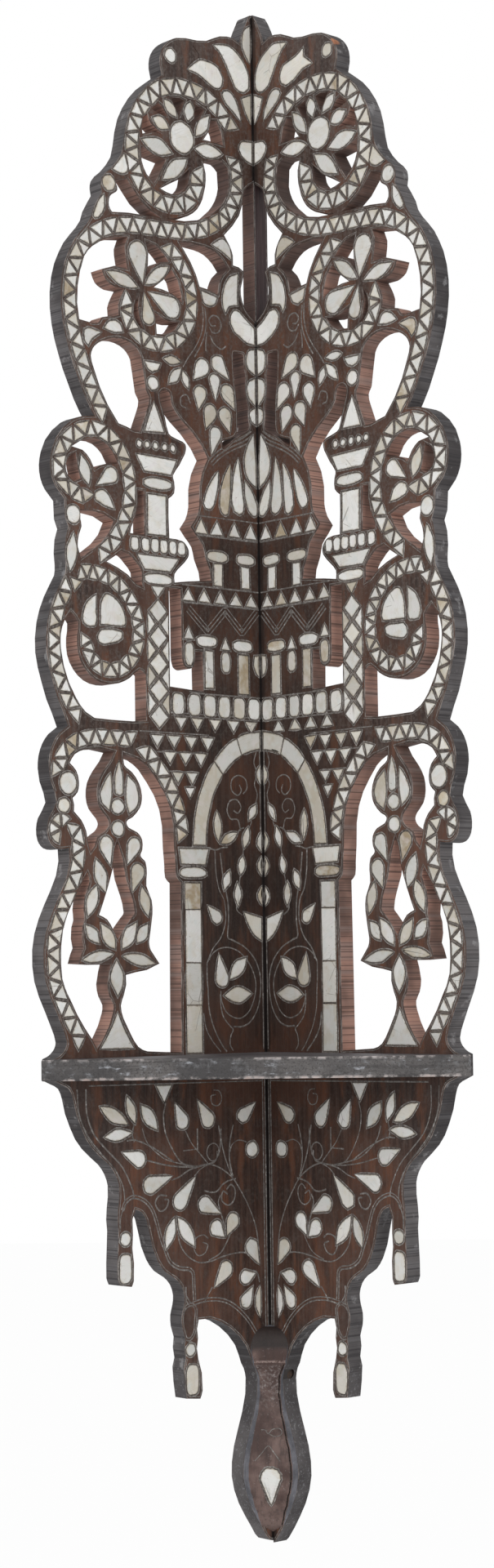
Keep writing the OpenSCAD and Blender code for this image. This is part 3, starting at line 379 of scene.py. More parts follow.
def walnutBoard(side):
    # oiled front, sawn openings in redder wood, greyed outer edge, plain back; "kind" says which face it is
    material, start, shader = newMaterial(side + "BoardWalnut")
    wing = start.place().stretched((1, 1, 1), turn=(0, 0, -wings[side] * math.pi / 4))
    kind = start.attribute("kind")
    isArris, isInner, isOuter, isBack, isPocket = [
        kind.math("COMPARE", kind, faceKind[key], 0.2)
        for key in ("arris", "inner", "outer", "back", "pocket")]
    fromCorner = 0 - wing.along("Y")
    above = wing.along("Z")
    cloud = wing.noise(13.0, 4.0, 0.6)
    fibre = wing.stretched((1, 330, 13)).noise(1.0, 4.0, 0.6)
    ruddy = wing.stretched((1, 95, 24)).noise(1.0, 3.0, 0.6)
    pore = wing.stretched((1, 1100, 60)).noise(1.0, 2.0, 0.5).step(0.60, 0.72)
    fleck = wing.stretched((1, 900, 420)).noise(1.0, 4.0, 0.7)
    grime = wing.noise(95.0, 5.0, 0.65)
    crumb = wing.noise(430.0, 5.0, 0.7)
    scratch = wing.noise(620.0, 5.0, 0.72)
    sawn = wing.stretched((0.02, 700, 900)).noise(1.0, 3.0, 0.6)
    sawnWide = wing.stretched((0.01, 120, 170)).noise(1.0, 2.0, 0.5)
    # crumbs of filler rubbed into the wood, most of them above the arch
    rubbed = crumb.step(0.44, 0.62) * grime.step(0.34, 0.56) * (0.25 + 0.5 * above.step(*wearAndShadeLook["crumbs"]))
    # painted shade in the niche; dark wax and painted shade along the corner, broader on the right wing
    nicheShade = above.between(*wearAndShadeLook["nicheShade"]) * (1 - fromCorner.step(*waxAndShadeLook["nicheShade"]))
    broad = 1 - (fromCorner + grime * 1.5).step(*waxAndShadeLook[side])
    deepWaxAndShade = 1 - (fromCorner + grime).step(*waxAndShadeLook["deepWaxAndShade"])
    # the part of the left board that runs behind the right one
    behind = 1 - fromCorner.step(*waxAndShadeLook["behind"])
    front = layered(
        cloud.step(0.38, 0.66).tint((0.028, 0.015, 0.0115), (0.098, 0.042, 0.026)),
        (fibre.step(0.40, 0.68), 0.5, (0.112, 0.066, 0.050)),
        (ruddy.step(0.50, 0.68), 0.55, (0.165, 0.062, 0.030)),
        (pore, 0.7, (0.014, 0.009, 0.0075)),
        (fleck.step(0.60, 0.72), 0.4, (0.170, 0.140, 0.122)),
        (grime.step(0.54, 0.74), 0.4, (0.120, 0.102, 0.092)),
        (rubbed, 1.0, (0.108, 0.087, 0.076)),
        # painted shade in the niche; dark wax and painted shade along the corner
        (nicheShade, 0.4, (0.014, 0.009, 0.0075)),
        (broad, 0.72, (0.017, 0.011, 0.009)),
        (deepWaxAndShade, 0.9, (0.009, 0.0065, 0.006)),
        (behind, 0.92, fibre.step(0.40, 0.66).tint((0.038, 0.020, 0.021), (0.082, 0.047, 0.047))))
    # painted shade on the walls of the openings beside the corner, which lie in shade
    shaded = above.between(*wearAndShadeLook["shaded"]) * (1 - fromCorner.step(*waxAndShadeLook["shaded"]))
    inner = layered(
        cloud.step(0.38, 0.62).tint((0.155, 0.092, 0.074), (0.460, 0.265, 0.208)),
        (sawnWide.step(0.46, 0.70), 0.55, (0.260, 0.205, 0.188)),
        (sawn.step(0.49, 0.62), 0.7, (0.066, 0.041, 0.034)),
        (shaded, 0.62, (0.047, 0.030, 0.028)))
    if side == "right":
        # painted shade on the walls round the flower
        flowerShade = above.between(*wearAndShadeLook["flower"]) * (1 - cloud.step(0.44, 0.62))
        inner = layered(inner, (flowerShade, 0.6, (0.060, 0.039, 0.033)))
    # the tails are rubbed smooth: hardly any saw marks there, only fine scratches
    sawMarks = 0.12 + 0.88 * above.step(*wearAndShadeLook["tails"])
    outer = layered(
        cloud.step(0.38, 0.62).tint((0.044, 0.039, 0.040), (0.127, 0.117, 0.118)),
        (sawnWide.step(0.48, 0.68) * sawMarks, 0.4, (0.150, 0.146, 0.152)),
        (sawn.step(0.49, 0.62) * sawMarks, 0.7, (0.026, 0.023, 0.025)),
        (grime.step(0.58, 0.70), 0.55, (0.330, 0.322, 0.325)),
        (scratch.step(0.54, 0.68) * (1 - sawMarks), 0.65, (0.290, 0.290, 0.308)))
    back = layered(
        fibre.step(0.3, 0.7).tint((0.070, 0.043, 0.032), (0.130, 0.084, 0.061)),
        (cloud.step(0.45, 0.7), 0.4, (0.052, 0.040, 0.034)),
        (grime.step(0.55, 0.72), 0.3, (0.155, 0.130, 0.112)))
    arris = grime.step(0.42, 0.66).tint((0.058, 0.043, 0.037), (0.260, 0.225, 0.205))
    # painted shade: the pockets' faces are painted near black
    colour = layered(
        front, (isInner, 1.0, inner), (isOuter, 1.0, outer), (isBack, 1.0, back),
        (isArris, 1.0, arris), (isPocket, 1.0, (0.016, 0.011, 0.010)))
    if side == "right":
        # a chip on the crest that shows fresh wood
        far = start.node("ShaderNodeVectorMath", {"operation": "DISTANCE"},
                         {0: wing.stretched(chipLook["flat"]), 1: chipLook["place"]}, "Value")
        chip = 1 - (far * (1 / mm) + grime * 2.0 - 1.0).step(*chipLook["reach"])
        fresh = grime.step(0.4, 0.6).tint((0.300, 0.120, 0.060), (0.600, 0.280, 0.160))
        colour = chip.tint(colour, fresh)
    cut = (isInner + isOuter).held()
    rough = 0.42 + 0.18 * grime + 0.25 * (cut + isBack).held()
    height = fibre * 0.5 - pore * 0.6 + cut * sawMarks * (sawnWide * 0.9 - sawn * 1.4)
    feed(shader, start, colour, rough, height, 0.6, 0.0004, Specular_IOR_Level=0.34)
    return material


def shellPearl():
    # silver-white, cream or honey by plate and clouded within it, with growth bands, a faint play of pink and
    # green, and a brown stain that creeps in from the rim ("middle" is 0 there)
    material, start, shader = newMaterial("shellPearl")
    tone = start.attribute("tone")
    warm = start.attribute("warm")
    middle = start.attribute("middle")
    grain = start.node("ShaderNodeUVMap", {"uv_map": "grain"}, {})
    place = start.place()
    cloud = grain.noise(0.085, 3.0, 0.55, 0.4)
    band = grain.stretched((0.10, 1.25, 1.0)).noise(1.0, 3.0, 0.6, 0.5)
    lustre = grain.stretched((1, 1, 1), shift=(37, 11, 0)).noise(0.12, 1.0, 0.5)
    clear = tone.tint((0.645, 0.64, 0.61), (0.885, 0.88, 0.855))
    cream = tone.tint((0.54, 0.49, 0.40), (0.80, 0.765, 0.68))
    honey = tone.tint((0.36, 0.28, 0.18), (0.56, 0.47, 0.33))
    crumb = place.noise(420.0, 4.0, 0.65)
    stain = (1 - middle.step(0.1, 0.95)) * crumb.step(0.42, 0.62)
    pit = crumb.step(0.655, 0.72)
    seam = start.node("ShaderNodeTexVoronoi", {"feature": "DISTANCE_TO_EDGE"},
                      {"Vector": place, "Scale": 62.0})
    crack = (1 - seam.step(0.006, 0.018)) * place.noise(38.0, 1.0).step(0.60, 0.66)
    creamy = (warm.step(0.50, 0.86) * 0.8 + cloud.step(0.46, 0.68) * 0.6).held()
    colour = layered(
        creamy.tint(clear, cream),
        (warm.step(0.90, 0.97), cloud.step(0.30, 0.58), honey),
        (band.step(0.50, 0.74), 0.30, (0.43, 0.405, 0.355)),
        (lustre.step(0.54, 0.72), 0.32, (0.77, 0.71, 0.715)),
        (lustre.step(0.46, 0.28), 0.32, (0.64, 0.695, 0.68)),
        ((1 - middle.step(0.2, 1.0)) * cloud.step(0.34, 0.58), 0.45, (0.46, 0.40, 0.29)),
        ((stain * 0.62 + pit * 0.6).held(), 1.0, (0.25, 0.19, 0.13)),
        (crack, 0.5, (0.14, 0.11, 0.085)))
    rough = 0.24 + 0.2 * band + 0.25 * stain
    height = band * 0.5 + cloud - crack
    feed(shader, start, colour, rough, height, 0.25, 0.0002, Coat_Roughness=0.12, Coat_Weight=0.25)
    return material


def mastic():
    # grey-brown filler round the plates; "across" runs from the plate (0) to the wire at the outer edge (1)
    material, start, shader = newMaterial("mastic")
    across = start.attribute("across")
    place = start.place()
    crumb = place.noise(560.0, 4.0, 0.65)
    broad = place.noise(55.0, 3.0, 0.6)
    body = layered(
        crumb.step(0.34, 0.66).tint((0.050, 0.041, 0.036), (0.175, 0.150, 0.132)),
        (broad.step(0.42, 0.66), 0.55, (0.185, 0.162, 0.145)))
    metal = crumb.step(0.38, 0.64).tint((0.150, 0.138, 0.128), (0.430, 0.415, 0.395))
    onWire = across.between((0.58, 0.70), (0.86, 0.98)) * broad.step(0.30, 0.50)
    gap = 1 - across.step(0.06, 0.22)
    colour = layered(
        body, (onWire, 0.85, metal), (gap, 0.75, (0.020, 0.016, 0.014)),
        (across.step(0.90, 1.0), 0.8, (0.045, 0.033, 0.028)))
    rough = 0.7 - 0.25 * onWire
    feed(shader, start, colour, rough, crumb, 0.5, 0.0003, Specular_IOR_Level=0.35)
    return material


def dullWire():
    # thin wire hammered into the wood: grey with bright worn spots, lost here and there under dark wax
    material, start, shader = newMaterial("dullWire")
    place = start.place()
    crumb = place.noise(430.0, 4.0, 0.65)
    broad = place.noise(48.0, 3.0, 0.6)
    colour = layered(
        crumb.step(0.34, 0.58).tint((0.088, 0.076, 0.069), (0.195, 0.180, 0.168)),
        (crumb.step(0.57, 0.70), 0.75, (0.460, 0.446, 0.432)),
        (1 - broad.step(0.28, 0.44), 0.6, (0.060, 0.044, 0.037)))
    feed(shader, start, colour, 0.6 - 0.25 * crumb, crumb, 0.4, 0.0002, Specular_IOR_Level=0.4)
    return material


def darkSplit():
    # the dark inside of an open split, with some dust
    material, start, shader = newMaterial("darkSplit")
    dust = start.place().noise(700.0, 3.0, 0.6)
    colour = dust.step(0.5, 0.75).tint((0.010, 0.007, 0.006), (0.085, 0.062, 0.050))
    feed(shader, start, colour, 0.7 + 0.2 * dust, Specular_IOR_Level=0.2)
    return material


def shelfWalnut():
    # dark brown top, greyed, pitted and scuffed edge, arrises rubbed pale; "rub" is 1 on an arris, "low"
    # along the lower one
    material, start, shader = newMaterial("shelfWalnut")
    place = start.place()
    rub = start.attribute("rub")
    top = start.attribute("top")
    low = start.attribute("low")
    cloud = place.noise(17.0, 4.0, 0.6)
    fibre = place.stretched((16, 420, 420)).noise(1.0, 4.0, 0.6)
    scuff = place.stretched((70, 240, 240)).noise(1.0, 5.0, 0.7)
    grime = place.noise(170.0, 5.0, 0.65)
    pit = place.noise(760.0, 5.0, 0.72)
    edge = layered(
        cloud.step(0.36, 0.64).tint((0.047, 0.044, 0.045), (0.126, 0.116, 0.112)),
        (fibre.step(0.46, 0.64), 0.6, (0.036, 0.032, 0.032)),
        (grime.step(0.50, 0.68), 0.45, (0.205, 0.206, 0.214)),
        (pit.step(0.50, 0.62), 0.7, (0.022, 0.019, 0.018)),
        (scuff.step(0.55, 0.68) * grime.step(0.42, 0.58), 0.8, (0.430, 0.445, 0.480)))
    upper = layered(
        cloud.step(0.36, 0.64).tint((0.058, 0.053, 0.057), (0.140, 0.128, 0.132)),
        (fibre.step(0.5, 0.7), 0.5, (0.024, 0.018, 0.017)),
        (scuff.step(0.60, 0.75), 0.5, (0.190, 0.165, 0.155)))
    worn = grime.step(0.38, 0.60).tint((0.175, 0.160, 0.155), (0.520, 0.470, 0.455))
    fresh = grime.step(0.52, 0.66).tint(worn, (0.560, 0.430, 0.380))
    lowRub = low * rub * grime.step(0.40, 0.58) * scuff.step(0.36, 0.54)
    colour = layered(
        top.step(0.4, 0.9).tint(edge, upper),
        (rub * grime.step(0.42, 0.58), cloud.step(0.34, 0.54), worn), (lowRub, 0.9, fresh))
    rough = 0.46 + 0.28 * grime
    height = fibre * 0.7 + scuff * 0.5 - pit
    feed(shader, start, colour, rough, height, 0.5, 0.0004, Specular_IOR_Level=0.4)
    return material


# millimetres up: where the hood's painted shade starts, the ledge, and the scuffed neck from foot to head
hoodLook = {"hoodShade": (-189.0, -184.0), "ledge": -198.2, "neck": ((-236.0, -212.0), (-202.0, -199.0))}


def finialWalnut(name, wear):
    # red-brown rubbed front, near black with painted shade on the hood and scuffed below its ledge, and
    # greyed, scratched sides; "kind" is 1 on the front
    material, start, shader = newMaterial(name)
    place = start.place()
    kind = start.attribute("kind")
    above = place.along("Z")
    cloud = place.noise(48.0, 4.0, 0.6)
    fibre = place.stretched((520, 520, 30)).noise(1.0, 4.0, 0.6)
    scratch = place.noise(520.0, 5.0, 0.72)
    scuffed = above.between(*hoodLook["neck"]) * scratch.step(0.46, 0.62) * 0.4
    ledge = 1 - above.math("ABSOLUTE", above - hoodLook["ledge"]).step(0.3, 1.1)
    front = layered(
        cloud.step(0.36, 0.64).tint((0.058, 0.032, 0.027), (0.165, 0.108, 0.094)),
        (fibre.step(0.48, 0.68), 0.5, (0.032, 0.021, 0.019)),
        ((scratch.step(0.60, 0.70) * 0.5 + scuffed).held(), 1.0, (0.31, 0.275, 0.265)),
        # painted shade: the top of the hood goes near black
        ((above + cloud * 8.0).step(*hoodLook["hoodShade"]), 0.9, (0.017, 0.012, 0.011)),
        (ledge * scratch.step(0.36, 0.56), 0.75, (0.330, 0.245, 0.220)))
    flank = layered(
        cloud.step(0.36, 0.64).tint((0.076, 0.076, 0.088), (0.160, 0.158, 0.178)),
        (fibre.step(0.48, 0.66), 0.45, (0.046, 0.044, 0.050)),
        (scratch.step(0.58, 0.70), 0.6, (0.310, 0.310, 0.330)))
    colour = layered(
        kind.step(0.4, 0.6).tint(flank, front),
        (scratch.step(0.40, 0.62), wear, (0.300, 0.280, 0.270)))
    rough = 0.5 + 0.25 * scratch
    height = fibre * 0.6 + scratch * 0.6
    feed(shader, start, colour, rough, height, 0.5, 0.0004, Specular_IOR_Level=0.4)
    return material


def forgedIron():
    # dull iron with rust in patches
    material, start, shader = newMaterial("forgedIron")
    rust = start.place().noise(900.0, 4.0, 0.65)
    colour = rust.step(0.4, 0.65).tint((0.055, 0.048, 0.044), (0.115, 0.062, 0.038))
    feed(shader, start, colour, 0.5 + 0.3 * rust, rust, 0.5, 0.0002, Metallic=0.7)
    return material


# Boards

flatCosine = 0.9    # over this cosine with a face's own normal a triangle lies in that face
wallCosine = 0.5    # and under this one it stands upright to it
boardLook = {"arris": 0.38, "backArris": 0.5, "throughDepth": 5.0, "frontDepth": 0.05}    # millimetres
# narrow opening between the bead column and the grapes, as (u, z)
slotLook = {"front": 1.0, "back": 14.0, "steps": 3, "outline": [
    (17, 460), (13, 460), (11, 459.2), (10.9, 454.5), (10.2, 449), (9.4, 445.3), (9.8, 440), (9.9, 436),
    (8.6, 429), (7.4, 425), (7.8, 420.5), (7.6, 417), (6.9, 412.5), (8.2, 409.3), (12.5, 406.4), (17.5, 404),
    (21.5, 401.2), (25.5, 397.9), (29.6, 394.9), (30.6, 397), (30.3, 399.6), (26, 400.9), (20.6, 403.2),
    (17.7, 406.6), (16.9, 410.5), (16.9, 416), (16.9, 422), (17.3, 429), (18.2, 435), (19.2, 440.5),
    (19.6, 446), (19.9, 452), (20.0, 457), (19.6, 459.6)]}


def smoothPath(knots, steps=9):
    # curve through the knots, each piece a cubic in t whose slope at a knot is half the step past it
    knots = np.concatenate([2 * knots[:1] - knots[1:2], knots, 2 * knots[-1:] - knots[-2:-1]])
    before, first, second, after = knots[:-3], knots[1:-2], knots[2:-1], knots[3:]
    t = np.arange(steps)[:, None, None] / steps
    curve = first + 0.5 * t * (second - before + t * (2 * before - 5 * first + 4 * second - after
                                                      + t * (3 * (first - second) + after - before)))
    return np.concatenate([curve.transpose(1, 0, 2).reshape(-1, 2), knots[-2:-1]])


def pierced(side, points, rows):
    # the slot's outline carried straight through the board and taken away from it
    outline = np.array(slotLook["outline"] + slotLook["outline"][:1], float)
    u, z = drawnOn(side, smoothPath(outline, slotLook["steps"])[:-1]).T
    here = np.arange(len(u))
    rings = np.concatenate([onWing(side, u, z, slotLook["front"]), onWing(side, u, z, -slotLook["back"])])
    walls = bandFaces(len(u), np.roll(here, -1), 2) + [here[None], here[None, ::-1] + len(u)]
    things = []
    for spots, faces in ((points, [rows]), (rings, walls)):
        data = plainMesh("plain", spots, faces)
        work = bmesh.new()
        work.from_mesh(data)
        bmesh.ops.recalc_face_normals(work, faces=work.faces)
        work.to_mesh(data)
        work.free()
        things.append(bpy.data.objects.new("plain", data))
        bpy.context.scene.collection.objects.link(things[-1])
    board, slot = things
    cut = board.modifiers.new("slot", "BOOLEAN")
    cut.object = slot
    cut.operation = "DIFFERENCE"
    cut.solver = "EXACT"
    made = bpy.data.meshes.new_from_object(board.evaluated_get(bpy.context.evaluated_depsgraph_get()))
    found = welded(made)
    for data in (made, board.data, slot.data):
        bpy.data.meshes.remove(data)
    return found


def softened(points, rows, cap, out, size, through):
    # chamfers the sawn arrises of a flat face: its rim moves in by size and the walls start size deeper, with
    # a band of quads between them
    spot, follow, lead = rim(points, rows[cap], out)
    chosen = through[spot]
    moved = points[spot] - lead * size * mm
    fresh = np.cumsum(chosen) - 1 + len(points)
    lookup = np.arange(len(points))
    lookup[spot[chosen]] = fresh[chosen]
    rows = rows.copy()
    rows[cap] = lookup[rows[cap]]
    here = np.flatnonzero(chosen & chosen[follow])
    there = follow[here]
    quads = np.stack([spot[here], spot[there], fresh[there], fresh[here]], 1)
    points = points.copy()
    points[spot[chosen]] -= out * size * mm
    return np.concatenate([points, moved[chosen]]), rows, quads


def makeBoard(side, material):
    # the solid's triangles sorted by the face they lie in, chamfered along the sawn arrises
    points, rows = pierced(side, *cadSurface(side + "_board"))
    out = faceOut(side)
    facing = rowNormals(points, rows) @ out
    depth = -(points @ out) / mm
    low = depth[rows].max(1)
    front = (facing > flatCosine) & (low < boardLook["frontDepth"])
    back = facing < -flatCosine
    sawn = (np.abs(facing) < wallCosine) & (low > boardLook["throughDepth"])
    through = np.zeros(len(points), bool)
    through[rows[sawn]] = True
    group = islands(len(points), rowEnds(rows[sawn]))[rows[:, 0]]
    walls = np.unique(group[sawn])
    tall = [np.ptp(points[rows[sawn & (group == wall)]][..., 2]) for wall in walls]
    outerGroup = walls[int(np.argmax(tall))]
    kinds = np.select([front, back, sawn & (group == outerGroup), sawn],
                      [faceKind[key] for key in ("front", "back", "outer", "inner")], faceKind["pocket"])
    spot, follow, lead = rim(points, rows[front], out)
    edge = {"spot": points[spot], "next": follow, "lead": lead, "sawn": through[spot] & through[spot[follow]]}
    points, rows, frontBand = softened(points, rows, front, out, boardLook["arris"], through)
    through = np.concatenate([through, np.zeros(len(points) - len(through), bool)])
    points, rows, backBand = softened(points, rows, back, -out, boardLook["backArris"], through)
    kinds = np.concatenate([kinds, np.full(len(frontBand) + len(backBand), faceKind["arris"])])
    addPiece(side + "Board", points, [rows, frontBand, backBand], material,
             [side + "_board"], {"kind": ("FACE", kinds)})
    print(side, "board:", len(rows), "triangles,", len(walls), "sawn walls")
    return edge


def sides(edge, sawn):
    # the straight pieces of a face's rim, either the sawn ones or those round the pockets
    chosen = edge["sawn"] == sawn
    return edge["spot"][chosen], edge["spot"][edge["next"][chosen]]


edges = {side: makeBoard(side, walnutBoard(side)) for side in wings}


# Pearl plates

# millimetres, a slope for the tilt, and the most of a plate's half width that inset and bevel may take
plateLook = {"sink": -0.35, "edge": 0.10, "crown": 0.28, "bevel": 0.30, "inset": 0.95, "tilt": 0.010,
             "handCut": 0.16, "handMost": 0.3, "nicked": 0.035, "insetShare": 0.5, "bevelShare": 0.25,
             "middle": [0.0, 0.0, 0.3, 1.0], "grainApart": 400}
# how much paler than the rest a motif's plates are (or darker, below 0), and how warm a paler one may be
paleLook = {"minaret": 0.5, "arch": -0.4, "corner_emblem": 0.4, "lamp": -0.4, "tassels": -0.15,
            "flower": -0.25}
paleWarm = 0.6
pearl = shellPearl()


def makePlates(node, out, name):
    # each plate: its outline raised a little over the wood, a bevel, a rim zone, then the cap with its tilt
    points, rows = cadSurface(node)
    top = rows[rowNormals(points, rows) @ out > flatCosine]
    plate = islands(len(points), rowEnds(rows))
    spot, follow, lead = rim(points, top, out)
    plate = np.repeat(np.unique(plate[spot], return_inverse=True)[1], rimSteps)
    handCut = chance.normal(0, plateLook["handCut"], (len(spot), 1))
    handCut = handCut.clip(-plateLook["handMost"], plateLook["handMost"]) * mm
    base, follow = roundedRim(points[spot] + lead * handCut, follow)
    base = base + rimLead(base, follow, out) * chance.normal(0, plateLook["nicked"], (len(base), 1)) * mm
    lead = rimLead(base, follow, out)
    count = plate.max() + 1
    centre = np.stack([np.bincount(plate, base[:, k]) for k in range(3)], 1) / np.bincount(plate)[:, None]
    across = np.cross([0, 0, 1.0], out)
    local = np.stack([(base - centre[plate]) @ across, base[:, 2] - centre[plate][:, 2]], 1) / mm
    # twice the area over the perimeter, about a plate's half width, bounds how far the rim zone reaches in
    turned = local[:, 0] * local[follow][:, 1] - local[:, 1] * local[follow][:, 0]
    around = np.bincount(plate, np.linalg.norm(local[follow] - local, axis=1))
    reach = (np.abs(np.bincount(plate, turned)) / around)[plate]
    inset = np.minimum(plateLook["inset"], plateLook["insetShare"] * reach)[:, None]
    bevel = np.minimum(plateLook["bevel"], plateLook["bevelShare"] * reach)[:, None]
    tilt = chance.uniform(-1, 1, (count, 2)) * plateLook["tilt"]
    lift = plateLook["crown"] + (local * tilt[plate]).sum(1)
    raised = base + out * lift[:, None] * mm
    rings = [base + out * plateLook["sink"] * mm, base + out * plateLook["edge"] * mm,
             raised - lead * bevel * mm, raised - lead * inset * mm]
    middle = np.repeat(plateLook["middle"], len(base))
    bands = [quad[:, ::-1] for quad in bandFaces(len(base), follow, len(rings))]
    caps = [loop[None] + (len(rings) - 1) * len(base) for loop in inOrder(follow, plate)]
    turn = chance.uniform(0, math.pi, count)[plate]
    grain = np.stack([local[:, 0] * np.cos(turn) - local[:, 1] * np.sin(turn),
                      local[:, 0] * np.sin(turn) + local[:, 1] * np.cos(turn)], 1)
    grain += chance.uniform(0, plateLook["grainApart"], (count, 2))[plate]
    paler = paleLook.get(name.split(".")[-1], 0.0)
    tone = np.tile((chance.random(count) + paler).clip(0, 1)[plate], len(rings))
    warm = np.tile((chance.random(count) * (paleWarm if paler > 0 else 1.0))[plate], len(rings))
    addPiece(name, np.concatenate(rings), bands + caps, pearl, [node],
             {"tone": ("POINT", tone), "warm": ("POINT", warm), "middle": ("POINT", middle)},
             uv=np.tile(grain, (len(rings), 1)), sharpAngle=20)
    return base, follow, lead, plate


# millimetres, the share of a gap that one plate's filler takes, least shares of the reach, and uneven widths
ringLook = {"reach": 1.6, "edgeRoom": 0.2, "share": 0.56, "least": 0.3, "leastAtEdge": 0.12,
            "wander": (0.72, 1.08), "uneven": (0.75, 1.25),
            "profile": [(-0.06, 0.04), (0.12, 0.10), (0.62, 0.08), (0.76, 0.17), (0.88, 0.17), (1.0, 0.02)]}
filler = mastic()


def makeFiller(name, out, rims, outline):
    # the filler's profile carried round every plate, narrowed where the wood's edge or another plate is near
    base = np.concatenate([row[0] for row in rims])
    sizes = np.array([len(row[0]) for row in rims])
    begin = np.cumsum(sizes) - sizes
    follow = np.concatenate([row[1] + first for row, first in zip(rims, begin)])
    lead = np.concatenate([row[2] for row in rims])
    counts = np.array([row[3].max() + 1 for row in rims])
    plate = np.concatenate([row[3] + first for row, first in zip(rims, np.cumsum(counts) - counts)])
    gap = nearest(base, base, base[follow], (plate, plate)) / mm
    width = np.clip(gap * ringLook["share"] / ringLook["reach"], ringLook["least"], 1.0)
    if outline is not None:
        room = nearest(base, *outline) / mm
        room = (room - ringLook["edgeRoom"]) / ringLook["reach"]
        width = np.minimum(width, np.clip(room, ringLook["leastAtEdge"], 1.0))
    wander = chance.uniform(*ringLook["wander"], len(base))
    wander = (wander + wander[follow] + wander[follow[follow]]) / 3
    width = width * wander
    uneven = chance.uniform(*ringLook["uneven"], plate.max() + 1)[plate]
    rings = [base + lead * (reach * width * ringLook["reach"] * mm)[:, None]
             + out * (rise * uneven * mm)[:, None] for reach, rise in ringLook["profile"]]
    across = np.concatenate([reach * width for reach, rise in ringLook["profile"]])
    addPiece(name, np.concatenate(rings), bandFaces(len(base), follow, len(rings)), filler,
             values={"across": ("POINT", np.clip(across, 0, 1))}, sharpAngle=60)
    print(name, len(base), "rim points round", plate.max() + 1, "plates")


for side in wings:
    nodes = [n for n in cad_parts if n.startswith(side + "_") and n != side + "_board"]
    rims = [makePlates(n, faceOut(side), side + "Pearl." + n.split("_", 1)[1]) for n in nodes]
    makeFiller(side + "Filler", faceOut(side), rims, sides(edges[side], True))
finialOut = np.array([0.0, -1.0, 0.0])
makeFiller("finialFiller", finialOut, [makePlates("finial_drop", finialOut, "finialPearl")], None)


# Wires

# widths in millimetres, and shares by which a line and its places differ
wireLook = {"half": 0.56, "crack": 0.32, "room": 0.8, "uneven": (0.8, 1.2), "hammered": (0.85, 1.15),
            "profile": [(-1, -0.06), (-0.5, 0.11), (0.5, 0.11), (1, -0.06)]}
edgeLook = {"inset": 1.25, "half": 0.34, "plateRoom": 0.75, "edgeRoom": 0.85}
wire = dullWire()
split = darkSplit()

